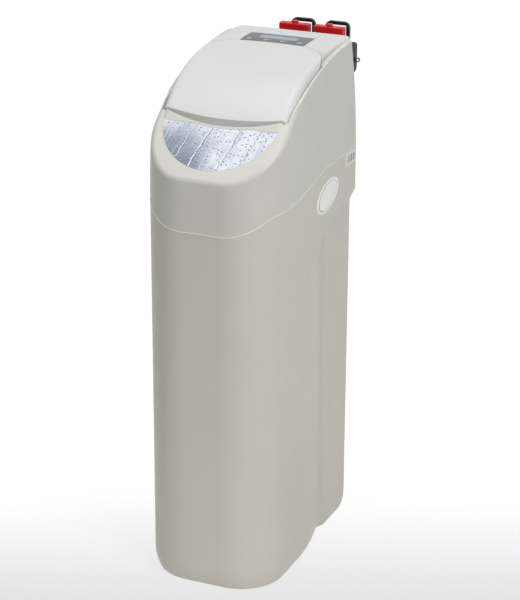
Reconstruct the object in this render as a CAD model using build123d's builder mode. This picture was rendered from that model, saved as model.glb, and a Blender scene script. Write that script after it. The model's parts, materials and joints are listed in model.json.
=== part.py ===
from build123d import *
import math
import os

os.makedirs("parts", exist_ok=True)

# Frame: X to the object's right, Y to its rear, Z up, in millimetres.
# The origin is on the floor, at the centre of the cabinet's plan.

# Cabinet and hood, shared outline
cabinet_width = 289
cabinet_depth = 466
front_corner_radius = 102
rear_corner_radius = 20
wall = 3
foot_height = 42
foot_draw = 10
foot_sections = 3
foot_edge_round = 2
form_top = 900
cut_margin = 20

# Waist: the side runs in behind the salt bin and out again round the resin tank
waist_start_y = -47
waist_lobe_radius = 486
waist_lobe_turn = 16
waist_valley_radius = 30
waist_valley_turn = 44
waist_rear_radius = 40

# Shoulder: the slanted underside where the waist ends below the hood
shoulder_foot = (-34, 622)
shoulder_knee = (62, 713)
shoulder_end = (250, 752)
shoulder_knee_radius = 110
shoulder_slope = 2

# Wave: the parting line between cabinet and hood, as (depth, height)
wave_points = [(-260, 736), (-183, 795.5), (-86, 800), (53, 829.5), (260, 834.5)]
wave_radii = [60, 300, 300]
parting_gap = 0.4
neck_height = 15
neck_root = 12
neck_clearance = 0.6

# Hood: the walls lean in above this height
hood_low_z = 735
lean_start_z = 800
hood_top_z = 1078
lean_side = 8.5
lean_front = 18
lean_rear = 4
rear_corner_growth = 22
lean_sections = 5

# Rim: the arched top of the hood's side walls
rim_apex = (205, 1056.5)
rim_radius = 645
rim_skin = 8

# Fascia: the half-moon plane cut on the rounded front
fascia_corner = (-118, 966)
fascia_slope = 41.8
fascia_edge_round = 13

# Crown and lid, one arched skin
crown_foot = (-125, 964)
crown_front_angle = 48.6
crown_front_radius = 263
crown_join_angle = 11.5
crown_rear_radius = 752
crown_rear_turn = 18
crown_low_z = 900
crown_half_width = 127
crown_edge_round = 9
cove_radius = 4
cove_x = 130.5
cove_lift = 1
cove_front_turn = 16
cove_rear_turn = 5

# Lid
lid_half_width = 133
lid_roll_radius = 14
lid_front_corner_y = -118
lid_front_bow = 9.5
lip_corner_y = -119.5
lip_bow = 18
lid_gap = 0.8
lid_seam_y = 107
lid_seam_bow = 12
lid_corner_radius = 72
ledge_depth = 15
lid_rest_gap = 0.3
lid_side_thinning = 0.5

# Mouth of the salt bin, through the ledge under the lid
mouth_half_width = 112
mouth_front_y = -95
mouth_rear_y = 24
mouth_corner = 30

# Lid hooks under the crown
hook_x = 88
hook_width = 20
hook_start_y = 84
hook_length = 16
hook_thickness = 3
hook_z = 1036
hook_clearance = 1.5
hook_slot_height = 14

# Front insert, measured on the fascia plane
insert_half_width = 122
insert_top_drop = 9
insert_top_bow = 22
insert_depth = 119
insert_corner = 9
insert_thickness = 0.9
insert_sink = 0.6
insert_clearance = 0.2

# Display on the crown
display_half_width = 70
display_front_y = 111
display_rear_y = 167
display_bow = 4
display_corner = 1.5
strip_y = 180
strip_depth = 18
film_proud = 0.3
film_sink = 0.7
fit_gap = 0.25
window_y = 146
window_width = 84
window_depth = 24
key_count = 4
key_pitch = 36.5
key_y = 120.5
key_radius = 5.2
key_gap = 0.35
key_proud = 0.8
key_travel = 0.7
key_slack = 0.2
board_top_z = 1041
board_y = 144
board_width = 150
board_depth = 56
board_thickness = 1.6
switch_size = 6
switch_height = 4
connector_width = 40
connector_depth = 8
connector_height = 6
post_inset = 6
post_radius = 4

# Rear wall of the hood: door for the bypass, screws, power inlet
door_half_width = 78
door_low_z = 930
door_high_z = 1050
door_corner = 12
screw_places = [(-112, 843), (112, 843)]
screw_radius = 2
screw_clearance = 0.3
inlet_x = -104
inlet_z = 960
inlet_neck_radius = 6

# Resin tank and what stands in it
tank_y = 118
tank_radius = 101.6
tank_wall = 3
tank_low_z = 24
tank_shoulder_z = 880
tank_top_z = 912
tank_edge = 68
tank_neck = 38
boot_radius = 105
boot_height = 78
boot_floor = 5
boot_chamfer = 7
boot_seat_radius = 30
resin_top_z = 560
riser_radius = 13
riser_bore = 11
strainer_radius = 22
strainer_top_z = 60
upper_strainer_radius = 30
upper_strainer_height = 26
strainer_slots = 10
strainer_slot_depth = 6
strainer_slot_width = 1.2
strainer_ring = 4

# Control valve
port_z = 981
port_places = [-39, 39]
port_radius = 19
port_bore = 12.7
port_branch_y = 152
port_end_y = 250
pedestal_flange_radius = 44
pedestal_flange_height = 12
pedestal_radius = 30
barrel_radius = 27
barrel_rear_y = 182
barrel_end_wall = 5
brine_port_x = 40
brine_port_y = 104
brine_port_radius = 9
drain_y = 150
drain_boss_radius = 11
drain_boss_z = 1012
drain_rise = 12
drain_bend = 10
drain_end_y = 262
drain_radius = 6.35
drain_bore = 4
drain_stop_radius = 8.5
drain_stop_length = 3
drain_barb_length = 20
stack_radius = 23
seal_spacers = 5
piston_radius = 14
piston_gap = 0.08
piston_front_y = 72
piston_length = 40
rod_front_y = 20
screw_rod_radius = 5

# Valve drive: main gear on the screw rod, pinion on the motor
plate_y = 56
plate_x = 6
plate_thickness = 4
plate_width = 112
plate_height = 76
plate_corner = 8
plate_bearing_gap = 0.06
plate_z = 977
gear_y = 47
gear_width = 7
gear_module = 1.25
gear_tooth_share = 0.86
tooth_root = 1.15
tooth_tip = 0.8
pressure_angle = 20
main_teeth = 54
pinion_teeth = 12
gear_hub_radius = 12
gear_window_pitch = 24
gear_window_radius = 5
gear_windows = 8
motor_angle = -20
motor_radius = 13.5
motor_length = 34
motor_shaft_radius = 2.5
motor_bore_depth = 6
motor_end_round = 2

# Bypass valve behind the hood
lever_y = 321
bridge_radius = 15
housing_radius = 26
housing_low_z = 950
housing_top_z = 1022
rotor_radius = 19.5
housing_floor = 5
housing_round = 4
rotor_cap_height = 4
rotor_cap_round = 1.5
stem_radius = 9
lever_length = 67
lever_width = 20
lever_height = 24
lever_low_z = 1030
lever_end_round = 3
lever_top_round = 2
lever_boss_radius = 7
lever_boss_height = 5
lever_mark_inset = 9
lever_mark_radius = 4
lever_mark_depth = 2
nut_front_y = 242
nut_length = 20
nut_radius = 25
nut_ribs = 12
nut_rib_radius = 2
collar_radius = 24
collar_length = 26
groove_radius = 20.4
groove_front_y = 363.5
groove_rear_y = 372.5
tube_rear_y = 376
adaptor_front_y = 356
adaptor_rear_y = 380
adaptor_half_width = 39
adaptor_shift = 1.5
adaptor_top_z = 1011
adaptor_low_z = 936
adaptor_low_corner = 24
adaptor_corner = 6
pipe_radius = 16.6
pipe_end_y = 405
eyelet_reach = 46.5
eyelet_z = 976
eyelet_radius = 5
eyelet_hole = 3.2
eyelet_neck = 5
eyelet_root = 4
eyelet_thickness = 4
clip_leg_x = 24
clip_strap = 7
clip_depth = 8
clip_gap = 0.4
clip_top_z = 1055
clip_low_z = 955
clip_corner = 13
clip_bar_height = 5

# Salt side
grid_z = 70
grid_thickness = 4
grid_clearance = 1.5
grid_rear_y = -6
grid_slot_x = 40
grid_slot_y = -112
grid_slot_pitch_x = 40
grid_slot_pitch_y = 16
grid_slots_x = 3
grid_slots_y = 9
grid_slot_length = 30
grid_slot_width = 6
grid_legs = [(-100, -150), (100, -150), (0, -205), (110, -30)]
grid_leg_radius = 6
well_side_gap = 15.5
well_y = -50
well_radius = 42
well_wall = 2.5
well_grid_gap = 1.5
well_top_z = 880
well_slots = 6
well_slot_width = 3
well_slot_height = 40
well_slot_z = 33
cap_overlap = 8
cap_top = 3
cap_edge = 3
valve_block_z = 850
valve_block_drop = 12
valve_block_width = 14
valve_block_radius = 12
valve_spigot_drop = 13
valve_spigot_height = 6
valve_spigot_wall = 2.5
float_rod_radius = 5
float_rod_low_z = 50
float_stop_radius = 10
float_stop_height = 4
float_stop_z = 90
float_radius = 30
float_height = 44
float_edge = 8
float_clearance = 0.5
brine_radius = 4.8
brine_start_z = 873.25
brine_turn_z = 930
brine_mid_y = 30
brine_bends = [30, 40, 25]

# Fittings on the rear walls
overflow_x = -88
overflow_z = 640
overflow_radius = 10
overflow_thread_length = 18
overflow_flange_rim = 5
overflow_flange_thickness = 3
overflow_barb_radius = 8
overflow_bore = 5.5
overflow_reach = 20
overflow_bend = 10
overflow_drop = 32
overflow_nut_length = 8
overflow_nut_rim = 6
screw_head_radius = 4.5
screw_head_height = 2.2
screw_length = 8
inlet_bore = 2.6
inlet_neck_length = 8
inlet_flange_rim = 3
inlet_flange_thickness = 4

# Badge and label
badge_y = 62
badge_z = 771
badge_half_length = 57
badge_half_height = 30
badge_tilt = 15
badge_thickness = 2
badge_rim = 0.3
label_y = 185
label_z = 817
label_length = 56
label_height = 27
label_thickness = 0.4
label_corner = 1

half_width = cabinet_width / 2
well_x = -(half_width - wall - well_side_gap - well_radius)
half_depth = cabinet_depth / 2
rim_centre = (rim_apex[0], rim_apex[1] - rim_radius)


def full_plan(inset):
    """Plan of cabinet and hood above the waist, drawn in by inset."""
    with BuildSketch() as plan:
        Rectangle(cabinet_width - 2 * inset, cabinet_depth - 2 * inset)
        fillet(plan.vertices().group_by(Axis.Y)[0], front_corner_radius - inset)
        fillet(plan.vertices().group_by(Axis.Y)[-1], rear_corner_radius - inset)
    return plan.sketch


def waist_plan(inset):
    """Plan of the cabinet below the shoulder: salt bin in front, resin tank lobe behind."""
    with BuildSketch() as plan:
        with BuildLine():
            flat_end = half_width - front_corner_radius
            front = Line((0, inset - half_depth), (flat_end, inset - half_depth))
            corner = JernArc(front @ 1, front % 1, front_corner_radius - inset, 90)
            side = Line(corner @ 1, (half_width - inset, waist_start_y))
            lobe = JernArc(side @ 1, side % 1, waist_lobe_radius - inset, waist_lobe_turn)
            valley = JernArc(lobe @ 1, lobe % 1, waist_valley_radius + inset, -waist_valley_turn)
            turn_back = waist_valley_turn - waist_lobe_turn
            tank_lobe = JernArc(valley @ 1, valley % 1, waist_rear_radius - inset, turn_back)
            tank_side = Line(tank_lobe @ 1, ((tank_lobe @ 1).X, half_depth - rear_corner_radius))
            back_corner = JernArc(tank_side @ 1, tank_side % 1, rear_corner_radius - inset, 90)
            Line(back_corner @ 1, (0, half_depth - inset))
            mirror(about=Plane.YZ)
        make_face()
    return plan.sketch


def shoulder_block(inset):
    """What lies above the slanted shoulder on both sides, inside the full plan."""
    margin = 6
    reach = 40
    rise = inset * math.hypot(1, shoulder_slope) + margin * shoulder_slope
    with BuildPart() as block:
        with BuildSketch(Plane.YZ.offset(half_width + margin)):
            with BuildLine():
                under = FilletPolyline(
                    (shoulder_foot[0], shoulder_foot[1] + rise),
                    (shoulder_knee[0], shoulder_knee[1] + rise),
                    (shoulder_end[0], shoulder_end[1] + rise),
                    radius=shoulder_knee_radius,
                )
                top = form_top + 2 * reach * shoulder_slope
                Polyline(under @ 1, ((under @ 1).X, top), ((under @ 0).X, top), under @ 0)
            make_face()
        length = (reach + margin) * math.hypot(1, shoulder_slope)
        extrude(amount=length, dir=(-1, 0, -shoulder_slope))
        mirror(about=Plane.YZ)
        with BuildSketch(Plane.XY.offset(shoulder_foot[1])):
            add(full_plan(inset))
        extrude(amount=form_top - shoulder_foot[1], mode=Mode.INTERSECT)
    return block.part


def cabinet_form(inset):
    """Outside of the cabinet up to above the parting line, drawn in by inset all round."""
    shoulders = shoulder_block(inset)
    with BuildPart() as form:
        for k in range(foot_sections + 1):
            z = inset + (foot_height - inset) * k / foot_sections
            draw = foot_draw * ((foot_height - z) / foot_height) ** 2
            with BuildSketch(Plane.XY.offset(z)):
                add(waist_plan(inset + draw))
        loft()
        with BuildSketch(Plane.XY.offset(foot_height)):
            add(waist_plan(inset))
        extrude(amount=form_top - foot_height)
        fillet(form.faces().sort_by(Axis.Z)[0].edges(), foot_edge_round)
        add(shoulders)
    return form.part


def below_wave(rise):
    """Everything under the parting line, moved up by rise."""
    with BuildPart() as block:
        with BuildSketch(Plane.YZ):
            with BuildLine():
                line = FilletPolyline([(y, z + rise) for y, z in wave_points], radius=wave_radii)
                Polyline(line @ 1, ((line @ 1).X, -1), ((line @ 0).X, -1), line @ 0)
            make_face()
        extrude(amount=half_width + cut_margin, both=True)
    return block.part


def hood_form(inset):
    """Outside of the hood's walls before its top is cut, drawn in by inset."""
    with BuildPart() as form:
        steps = [hood_low_z + (lean_start_z - hood_low_z) * k / 2 for k in range(2)]
        steps += [lean_start_z + (hood_top_z - lean_start_z) * k / lean_sections
                  for k in range(lean_sections + 1)]
        for z in steps:
            lean = max(0, (z - lean_start_z) / (hood_top_z - lean_start_z)) ** 2
            front = -half_depth + lean_front * lean + inset
            rear = half_depth - lean_rear * lean - inset
            width = cabinet_width - 2 * lean_side * lean - 2 * inset
            with BuildSketch(Plane.XY.offset(z)) as level:
                with Locations((0, (front + rear) / 2)):
                    Rectangle(width, rear - front)
                fillet(level.vertices().group_by(Axis.Y)[0], front_corner_radius - inset)
                rear_radius = rear_corner_radius + rear_corner_growth * lean - inset
                fillet(level.vertices().group_by(Axis.Y)[-1], rear_radius)
        loft()
    return form.part


def rim_drum(depth):
    """Drum about an X axis whose top is the rim's arch, depth below the rim."""
    with BuildPart() as drum:
        with BuildSketch(Plane.YZ):
            with Locations(rim_centre):
                Circle(rim_radius - depth)
        extrude(amount=half_width + cut_margin, both=True)
    return drum.part


def fascia_block(inset):
    """What the half-moon plane cuts away in front, with the plane moved in by inset."""
    turn = math.radians(fascia_slope)
    along = Vector(math.cos(turn), math.sin(turn))
    out = Vector(-math.sin(turn), math.cos(turn))
    corner = Vector(*fascia_corner) - out * inset
    with BuildPart() as block:
        with BuildSketch(Plane.YZ):
            with BuildLine():
                low = corner - along * cabinet_depth
                high = corner + along * half_width
                Polyline(low, high, high + out * half_depth, low + out * half_depth, close=True)
            make_face()
        extrude(amount=half_width + cut_margin, both=True)
    return block.part


def crown_block(inset, side, edge_round):
    """Arched block whose top is the lid and crown skin, drawn in by inset."""
    turn = math.radians(crown_front_angle)
    with BuildPart() as block:
        with BuildSketch(Plane.YZ):
            with BuildLine():
                foot = Vector(*crown_foot) + Vector(math.sin(turn), -math.cos(turn)) * inset
                rising = Line(foot - Vector(math.cos(turn), math.sin(turn)) * 2 * ledge_depth, foot)
                slope = crown_front_angle - crown_join_angle
                front = JernArc(rising @ 1, rising % 1, crown_front_radius - inset, -slope)
                rear = JernArc(front @ 1, front % 1, crown_rear_radius - inset, -crown_rear_turn)
                end = (rear @ 1).X
                Polyline(rear @ 1, (end, crown_low_z), ((rising @ 0).X, crown_low_z), rising @ 0)
            make_face()
        extrude(amount=side - inset, both=True)
        top_edges = (
            block.faces().filter_by(Axis.X).edges()
            .filter_by(lambda e: (e @ 0.5).Z > crown_foot[1] - 2 * ledge_depth)
            .filter_by(lambda e: abs((e @ 0.5).Y - end) > 1)
        )
        fillet(top_edges, edge_round - inset)
    return block.part


def lid_plan(grow, front_y, front_bow):
    """Plan of the salt lid: bowed front, straight sides, arched seam with wide corners."""
    side = lid_half_width + grow
    with BuildSketch() as plan:
        with BuildLine():
            nose = front_y - front_bow
            front = ThreePointArc((-side, front_y), (0, nose), (side, front_y))
            seam_end = lid_seam_y - lid_seam_bow + grow
            right = Line(front @ 1, (side, seam_end))
            seam = ThreePointArc(right @ 1, (0, lid_seam_y + grow), (-side, seam_end))
            Line(seam @ 1, front @ 0)
        make_face()
        fillet(plan.vertices().group_by(Axis.Y)[-1], lid_corner_radius + grow)
    return plan.sketch


def upright(sketch, low, high):
    """Straight prism on a plan between two heights."""
    with BuildPart() as prism:
        with BuildSketch(Plane.XY.offset(low)):
            add(sketch)
        extrude(amount=high - low)
    return prism.part


def fascia_rim(block):
    """Edges between the half-moon plane and the walls round it, without the top edge."""
    plane = block.faces().filter_by(GeomType.PLANE).filter_by(
        lambda face: face.normal_at().Y < -0.3 and face.normal_at().Z > 0.3
    )
    return plane.edges().sort_by(Axis.Z)[:-1]


# Cabinet: moulded wall with a neck that rises inside the hood
outer_form = cabinet_form(0)
neck_form = cabinet_form(wall + neck_clearance)
bin_form = cabinet_form(wall)
neck_space = cabinet_form(2 * wall + neck_clearance)
under_parting = below_wave(0)
under_neck = below_wave(neck_height)
under_root = below_wave(-neck_root)
with BuildPart() as neck_part:
    add(neck_form)
    add(under_neck, mode=Mode.INTERSECT)
with BuildPart() as bin_part:
    add(bin_form)
    add(under_root, mode=Mode.INTERSECT)
with BuildPart() as cabinet_shell:
    add(outer_form)
    add(under_parting, mode=Mode.INTERSECT)
    add(neck_part.part)
    add(bin_part.part, mode=Mode.SUBTRACT)
    add(neck_space, mode=Mode.SUBTRACT)

# Hood: walls, half-moon fascia, rim, crown, lid pocket with its ledge, bin mouth
hood_outside = hood_form(0)
hood_inside = hood_form(wall)
under_hood = below_wave(parting_gap)
rim = rim_drum(0)
rim_inside = rim_drum(rim_skin)
ledge_top = rim_drum(ledge_depth)
ledge_under = rim_drum(ledge_depth + wall)
fascia_cut = fascia_block(0)
fascia_inside = fascia_block(wall)
crown_outside = crown_block(0, crown_half_width, crown_edge_round)
crown_inside = crown_block(wall, crown_half_width, crown_edge_round)
lid_pocket = upright(lid_plan(lid_gap, lip_corner_y, lip_bow), crown_low_z, hood_top_z + cut_margin)
pocket_wall = upright(
    lid_plan(lid_gap + wall, lip_corner_y - wall, lip_bow), crown_low_z, hood_top_z + cut_margin
)

with BuildPart() as crown:
    add(crown_outside)
    add(hood_outside, mode=Mode.INTERSECT)
    add(lid_pocket, mode=Mode.SUBTRACT)

with BuildPart() as pocket:
    add(lid_pocket)
    add(ledge_top, mode=Mode.SUBTRACT)

with BuildPart() as pocket_shell:
    add(pocket_wall)
    add(ledge_under, mode=Mode.SUBTRACT)

with BuildPart() as cavity:
    add(hood_inside)
    add(rim_inside, mode=Mode.INTERSECT)
    add(fascia_inside, mode=Mode.SUBTRACT)
    fillet(fascia_rim(cavity), fascia_edge_round - wall)
    add(pocket_shell.part, mode=Mode.SUBTRACT)

with BuildPart() as crown_cavity:
    add(crown_inside)
    add(hood_inside, mode=Mode.INTERSECT)
    add(pocket_wall, mode=Mode.SUBTRACT)

# Coves: the hollows between the crown's side edges and the rim
with BuildPart() as coves:
    with BuildSketch(Plane(
        origin=(0, *rim_centre), x_dir=(1, 0, 0),
        z_dir=Vector(0, -1, 0).rotate(Axis.X, cove_front_turn),
    )):
        with Locations((cove_x, rim_radius + cove_lift), (-cove_x, rim_radius + cove_lift)):
            Circle(cove_radius)
    revolve(
        axis=Axis((0, *rim_centre), (-1, 0, 0)), revolution_arc=cove_front_turn + cove_rear_turn
    )

with BuildPart() as hood_shell:
    add(hood_outside)
    add(rim, mode=Mode.INTERSECT)
    add(fascia_cut, mode=Mode.SUBTRACT)
    fillet(fascia_rim(hood_shell), fascia_edge_round)
    add(crown.part)
    add(cavity.part, mode=Mode.SUBTRACT)
    add(crown_cavity.part, mode=Mode.SUBTRACT)
    add(pocket.part, mode=Mode.SUBTRACT)
    add(coves.part, mode=Mode.SUBTRACT)
    add(under_hood, mode=Mode.SUBTRACT)

# Salt lid: arched skin with a wall all round and two hooks behind
lid_skin = crown_block(0, lid_half_width, lid_roll_radius)
lid_hollow = crown_block(
    wall, lid_half_width + lid_side_thinning, lid_roll_radius + lid_side_thinning
)
lid_outline = upright(lid_plan(0, lid_front_corner_y, lid_front_bow), crown_low_z, hood_top_z)
lid_inner = upright(
    lid_plan(-wall, lid_front_corner_y + wall, lid_front_bow), crown_low_z, hood_top_z
)
lid_under = rim_drum(ledge_depth - lid_rest_gap)
with BuildPart() as lid_space:
    add(lid_hollow)
    add(lid_inner, mode=Mode.INTERSECT)
with BuildPart() as salt_lid:
    add(lid_skin)
    add(lid_outline, mode=Mode.INTERSECT)
    add(lid_under, mode=Mode.SUBTRACT)
    add(lid_space.part, mode=Mode.SUBTRACT)
    with BuildSketch(Plane.XY.offset(hook_z)):
        with Locations((hook_x, hook_start_y), (-hook_x, hook_start_y)):
            Rectangle(hook_width, hook_length, align=(Align.CENTER, Align.MIN))
    extrude(amount=hook_thickness)
salt_lid.part.label = "salt_lid"
export_step(salt_lid.part, "parts/salt_lid.step")

# Front insert: thin film in a shallow half-moon pocket
fascia_turn = math.radians(fascia_slope)
fascia_plane = Plane(
    origin=(0, fascia_corner[0], fascia_corner[1]),
    x_dir=(1, 0, 0),
    z_dir=(0, -math.sin(fascia_turn), math.cos(fascia_turn)),
)


def insert_plan(grow):
    """Half-moon outline on the fascia plane, measured down from its top corners."""
    side = insert_half_width + grow
    top = -insert_top_drop + grow
    with BuildSketch() as plan:
        with BuildLine():
            upper = ThreePointArc((-side, top), (0, top - insert_top_bow), (side, top))
            EllipticalCenterArc((0, top), side, insert_depth + 2 * grow, 180, arc_size=180)
        make_face()
        fillet(plan.vertices(), insert_corner)
    return plan.sketch


insert_outline = insert_plan(0)
insert_pocket_outline = insert_plan(insert_clearance)
with BuildPart() as front_insert:
    with BuildSketch(fascia_plane.offset(-insert_sink)):
        add(insert_outline)
    extrude(amount=insert_thickness)
front_insert.part.label = "front_insert"
export_step(front_insert.part, "parts/front_insert.step")

with BuildPart() as insert_pocket:
    with BuildSketch(fascia_plane.offset(-insert_sink)):
        add(insert_pocket_outline)
    extrude(amount=insert_sink + insert_thickness)


# Display: panel and strip sunk in the crown, window, keys, board


def display_plan(grow):
    """Plan of the display panel, with its front edge parallel to the lid's seam."""
    side = display_half_width + grow
    low = display_front_y - grow
    high = display_rear_y + grow
    with BuildSketch() as plan:
        with BuildLine():
            front = ThreePointArc((-side, low - display_bow), (0, low), (side, low - display_bow))
            Polyline(front @ 1, (side, high), (-side, high), front @ 0)
        make_face()
        fillet(plan.vertices(), display_corner)
    return plan.sketch


def strip_plan(grow):
    """Plan of the pale strip behind the display."""
    with BuildSketch() as plan:
        with Locations((0, strip_y)):
            Rectangle(2 * display_half_width + 2 * grow, strip_depth + 2 * grow)
        fillet(plan.vertices(), display_corner)
    return plan.sketch


def window_plan(grow):
    """Plan of the display window."""
    with BuildSketch() as plan:
        with Locations((0, window_y)):
            Rectangle(window_width + 2 * grow, window_depth + 2 * grow)
        fillet(plan.vertices(), 1 + grow)
    return plan.sketch


def key_places():
    """Centres of the keys, left to right."""
    return [((k - (key_count - 1) / 2) * key_pitch, key_y) for k in range(key_count)]


def key_plan(grow):
    """Plan of all keys or of their holes."""
    with BuildSketch() as plan:
        with Locations(*key_places()):
            Circle(key_radius + grow)
    return plan.sketch


def film(sketch, proud, sunk):
    """Layer of the crown between two offsets of its surface, cut to a plan."""
    top = crown_block(-proud, crown_half_width, crown_edge_round)
    under = crown_block(sunk, crown_half_width, crown_edge_round)
    prism = upright(sketch, crown_low_z, hood_top_z)
    with BuildPart() as layer:
        add(top)
        add(under, mode=Mode.SUBTRACT)
        add(prism, mode=Mode.INTERSECT)
    return layer.part


panel_layer = film(display_plan(0), film_proud, film_sink)
strip_layer = film(strip_plan(0), film_proud, film_sink)
panel_pocket = film(display_plan(fit_gap), film_proud + 2, film_sink)
strip_pocket = film(strip_plan(fit_gap), film_proud + 2, film_sink)
window_layer = film(window_plan(-fit_gap), film_proud / 2, film_sink)
window_hole = upright(window_plan(0), crown_low_z, hood_top_z)
key_holes = upright(key_plan(key_gap), crown_low_z, hood_top_z)

with BuildPart() as display_panel:
    add(panel_layer)
    add(window_hole, mode=Mode.SUBTRACT)
    add(key_holes, mode=Mode.SUBTRACT)
display_panel.part.label = "display_panel"
export_step(display_panel.part, "parts/display_panel.step")

with BuildPart() as accent_strip:
    add(strip_layer)
accent_strip.part.label = "accent_strip"
export_step(accent_strip.part, "parts/accent_strip.step")

with BuildPart() as display_window:
    add(window_layer)
display_window.part.label = "display_window"
export_step(display_window.part, "parts/display_window.step")

crown_under = crown_block(film_sink, crown_half_width, crown_edge_round)
with BuildPart() as display_module:
    with Locations((0, window_y, board_top_z)):
        Box(
            window_width - 2, window_depth - 2, hood_top_z - board_top_z,
            align=(Align.CENTER, Align.CENTER, Align.MIN),
        )
    add(crown_under, mode=Mode.INTERSECT)
display_module.part.label = "display_module"
export_step(display_module.part, "parts/display_module.step")

with BuildPart() as controller_board:
    with Locations((0, board_y, board_top_z)):
        Box(
            board_width, board_depth, board_thickness,
            align=(Align.CENTER, Align.CENTER, Align.MAX),
        )
    for x, y in key_places():
        with Locations((x, y, board_top_z)):
            Box(
                switch_size, switch_size, switch_height,
                align=(Align.CENTER, Align.CENTER, Align.MIN),
            )
    connector_y = board_y + board_depth / 2 - connector_depth
    with Locations((0, connector_y, board_top_z - board_thickness)):
        Box(
            connector_width, connector_depth, connector_height,
            align=(Align.CENTER, Align.CENTER, Align.MAX),
        )
controller_board.part.label = "controller_board"
export_step(controller_board.part, "parts/controller_board.step")

key_skin = crown_block(-key_proud, crown_half_width, crown_edge_round)
key_bottom_z = board_top_z + switch_height + key_travel + key_slack
for number, (x, y) in enumerate(key_places(), start=1):
    with BuildPart() as key:
        with BuildSketch(Plane.XY.offset(key_bottom_z)):
            with Locations((x, y)):
                Circle(key_radius)
        extrude(amount=hood_top_z - key_bottom_z)
        add(key_skin, mode=Mode.INTERSECT)
    key.part.label = f"key_{number}"
    export_step(key.part, f"parts/key_{number}.step")

# Hood, finished: pockets for insert, panel and strip, hook slots, bin mouth, rear door
post_x = board_width / 2 - post_inset
post_y = board_depth / 2 - post_inset
board_posts = [(sx * post_x, board_y + sy * post_y) for sx in (-1, 1) for sy in (-1, 1)]
post_skin = crown_block(wall / 2, crown_half_width, crown_edge_round)
with BuildPart() as posts:
    with BuildSketch(Plane.XY.offset(board_top_z)):
        with Locations(*board_posts):
            Circle(post_radius)
    extrude(amount=hood_top_z - board_top_z)
    add(post_skin, mode=Mode.INTERSECT)

with BuildPart() as hood_moulding:
    add(hood_shell.part)
    add(posts.part)
    add(insert_pocket.part, mode=Mode.SUBTRACT)
    add(panel_pocket, mode=Mode.SUBTRACT)
    add(strip_pocket, mode=Mode.SUBTRACT)
    add(window_hole, mode=Mode.SUBTRACT)
    add(key_holes, mode=Mode.SUBTRACT)
    with BuildSketch(Plane.XY.offset(crown_low_z)):
        with Locations((0, (mouth_front_y + mouth_rear_y) / 2)):
            RectangleRounded(2 * mouth_half_width, mouth_rear_y - mouth_front_y, mouth_corner)
    extrude(amount=hood_top_z - crown_low_z, mode=Mode.SUBTRACT)
    slot_low = hook_z - hook_clearance
    with Locations(
        (hook_x, hook_start_y, slot_low),
        (-hook_x, hook_start_y, slot_low),
    ):
        Box(
            hook_width + 2 * hook_clearance, hook_length + hook_clearance, hook_slot_height,
            align=(Align.CENTER, Align.MIN, Align.MIN), mode=Mode.SUBTRACT,
        )
    with BuildSketch(Plane.XZ.offset(-half_depth - 1)):
        with Locations((0, (door_low_z + door_high_z) / 2)):
            RectangleRounded(2 * door_half_width, door_high_z - door_low_z, door_corner)
    extrude(amount=cut_margin, mode=Mode.SUBTRACT)
    with Locations(*[Location((x, half_depth + 1, z), (90, 0, 0)) for x, z in screw_places]):
        Cylinder(
            screw_radius + screw_clearance, 4 * wall,
            align=(Align.CENTER, Align.CENTER, Align.MIN), mode=Mode.SUBTRACT,
        )
    with Locations(Location((inlet_x, half_depth + 1, inlet_z), (90, 0, 0))):
        Cylinder(
            inlet_neck_radius + fit_gap, 4 * wall,
            align=(Align.CENTER, Align.CENTER, Align.MIN), mode=Mode.SUBTRACT,
        )
hood_moulding.part.label = "hood"
export_step(hood_moulding.part, "parts/hood.step")

# Resin tank on its boot, with resin, riser tube and strainers inside


def tank_profile(inset, low, high, edge, neck, neck_top):
    """Half section of the resin tank, in radius and height."""
    with BuildSketch(Plane.XZ) as profile:
        with Locations((0, low + inset)):
            Rectangle(tank_radius - inset, high - low - 2 * inset, align=(Align.MIN, Align.MIN))
        outer = profile.vertices().group_by(Axis.X)[-1]
        fillet(outer, edge - inset)
        with Locations((0, high - 2 * inset - 1)):
            Rectangle(neck - inset, neck_top - high + 2 * inset + 1, align=(Align.MIN, Align.MIN))
    return profile.sketch


def tank_solid(inset, neck_top):
    """Resin tank's outside, drawn in by inset, standing on its axis."""
    profile = tank_profile(inset, tank_low_z, tank_shoulder_z, tank_edge, tank_neck, neck_top)
    with BuildPart() as solid:
        add(profile)
        revolve(axis=Axis.Z)
    return solid.part.moved(Location((0, tank_y, 0)))


tank_outside = tank_solid(0, tank_top_z)
tank_inside = tank_solid(tank_wall, tank_top_z + cut_margin)
resin_space = tank_solid(tank_wall + fit_gap, tank_top_z)
with BuildPart() as resin_tank:
    add(tank_outside)
    add(tank_inside, mode=Mode.SUBTRACT)
resin_tank.part.label = "resin_tank"
export_step(resin_tank.part, "parts/resin_tank.step")

with BuildPart() as tank_boot:
    with BuildSketch(Plane.XY.offset(wall)):
        with Locations((0, tank_y)):
            Circle(boot_radius)
    extrude(amount=boot_height)
    fillet(tank_boot.edges().group_by(Axis.Z)[-1], 2)
    chamfer(tank_boot.edges().group_by(Axis.Z)[0], boot_chamfer)
    with BuildSketch(Plane.XY.offset(wall + boot_floor)):
        with Locations((0, tank_y)):
            Circle(tank_radius + fit_gap)
            Circle(boot_seat_radius, mode=Mode.SUBTRACT)
    extrude(amount=boot_height, mode=Mode.SUBTRACT)
    with BuildSketch(Plane.XY.offset(tank_low_z)):
        with Locations((0, tank_y)):
            Circle(boot_seat_radius + 1)
    extrude(amount=boot_height, mode=Mode.SUBTRACT)
tank_boot.part.label = "tank_boot"
export_step(tank_boot.part, "parts/tank_boot.step")

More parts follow.
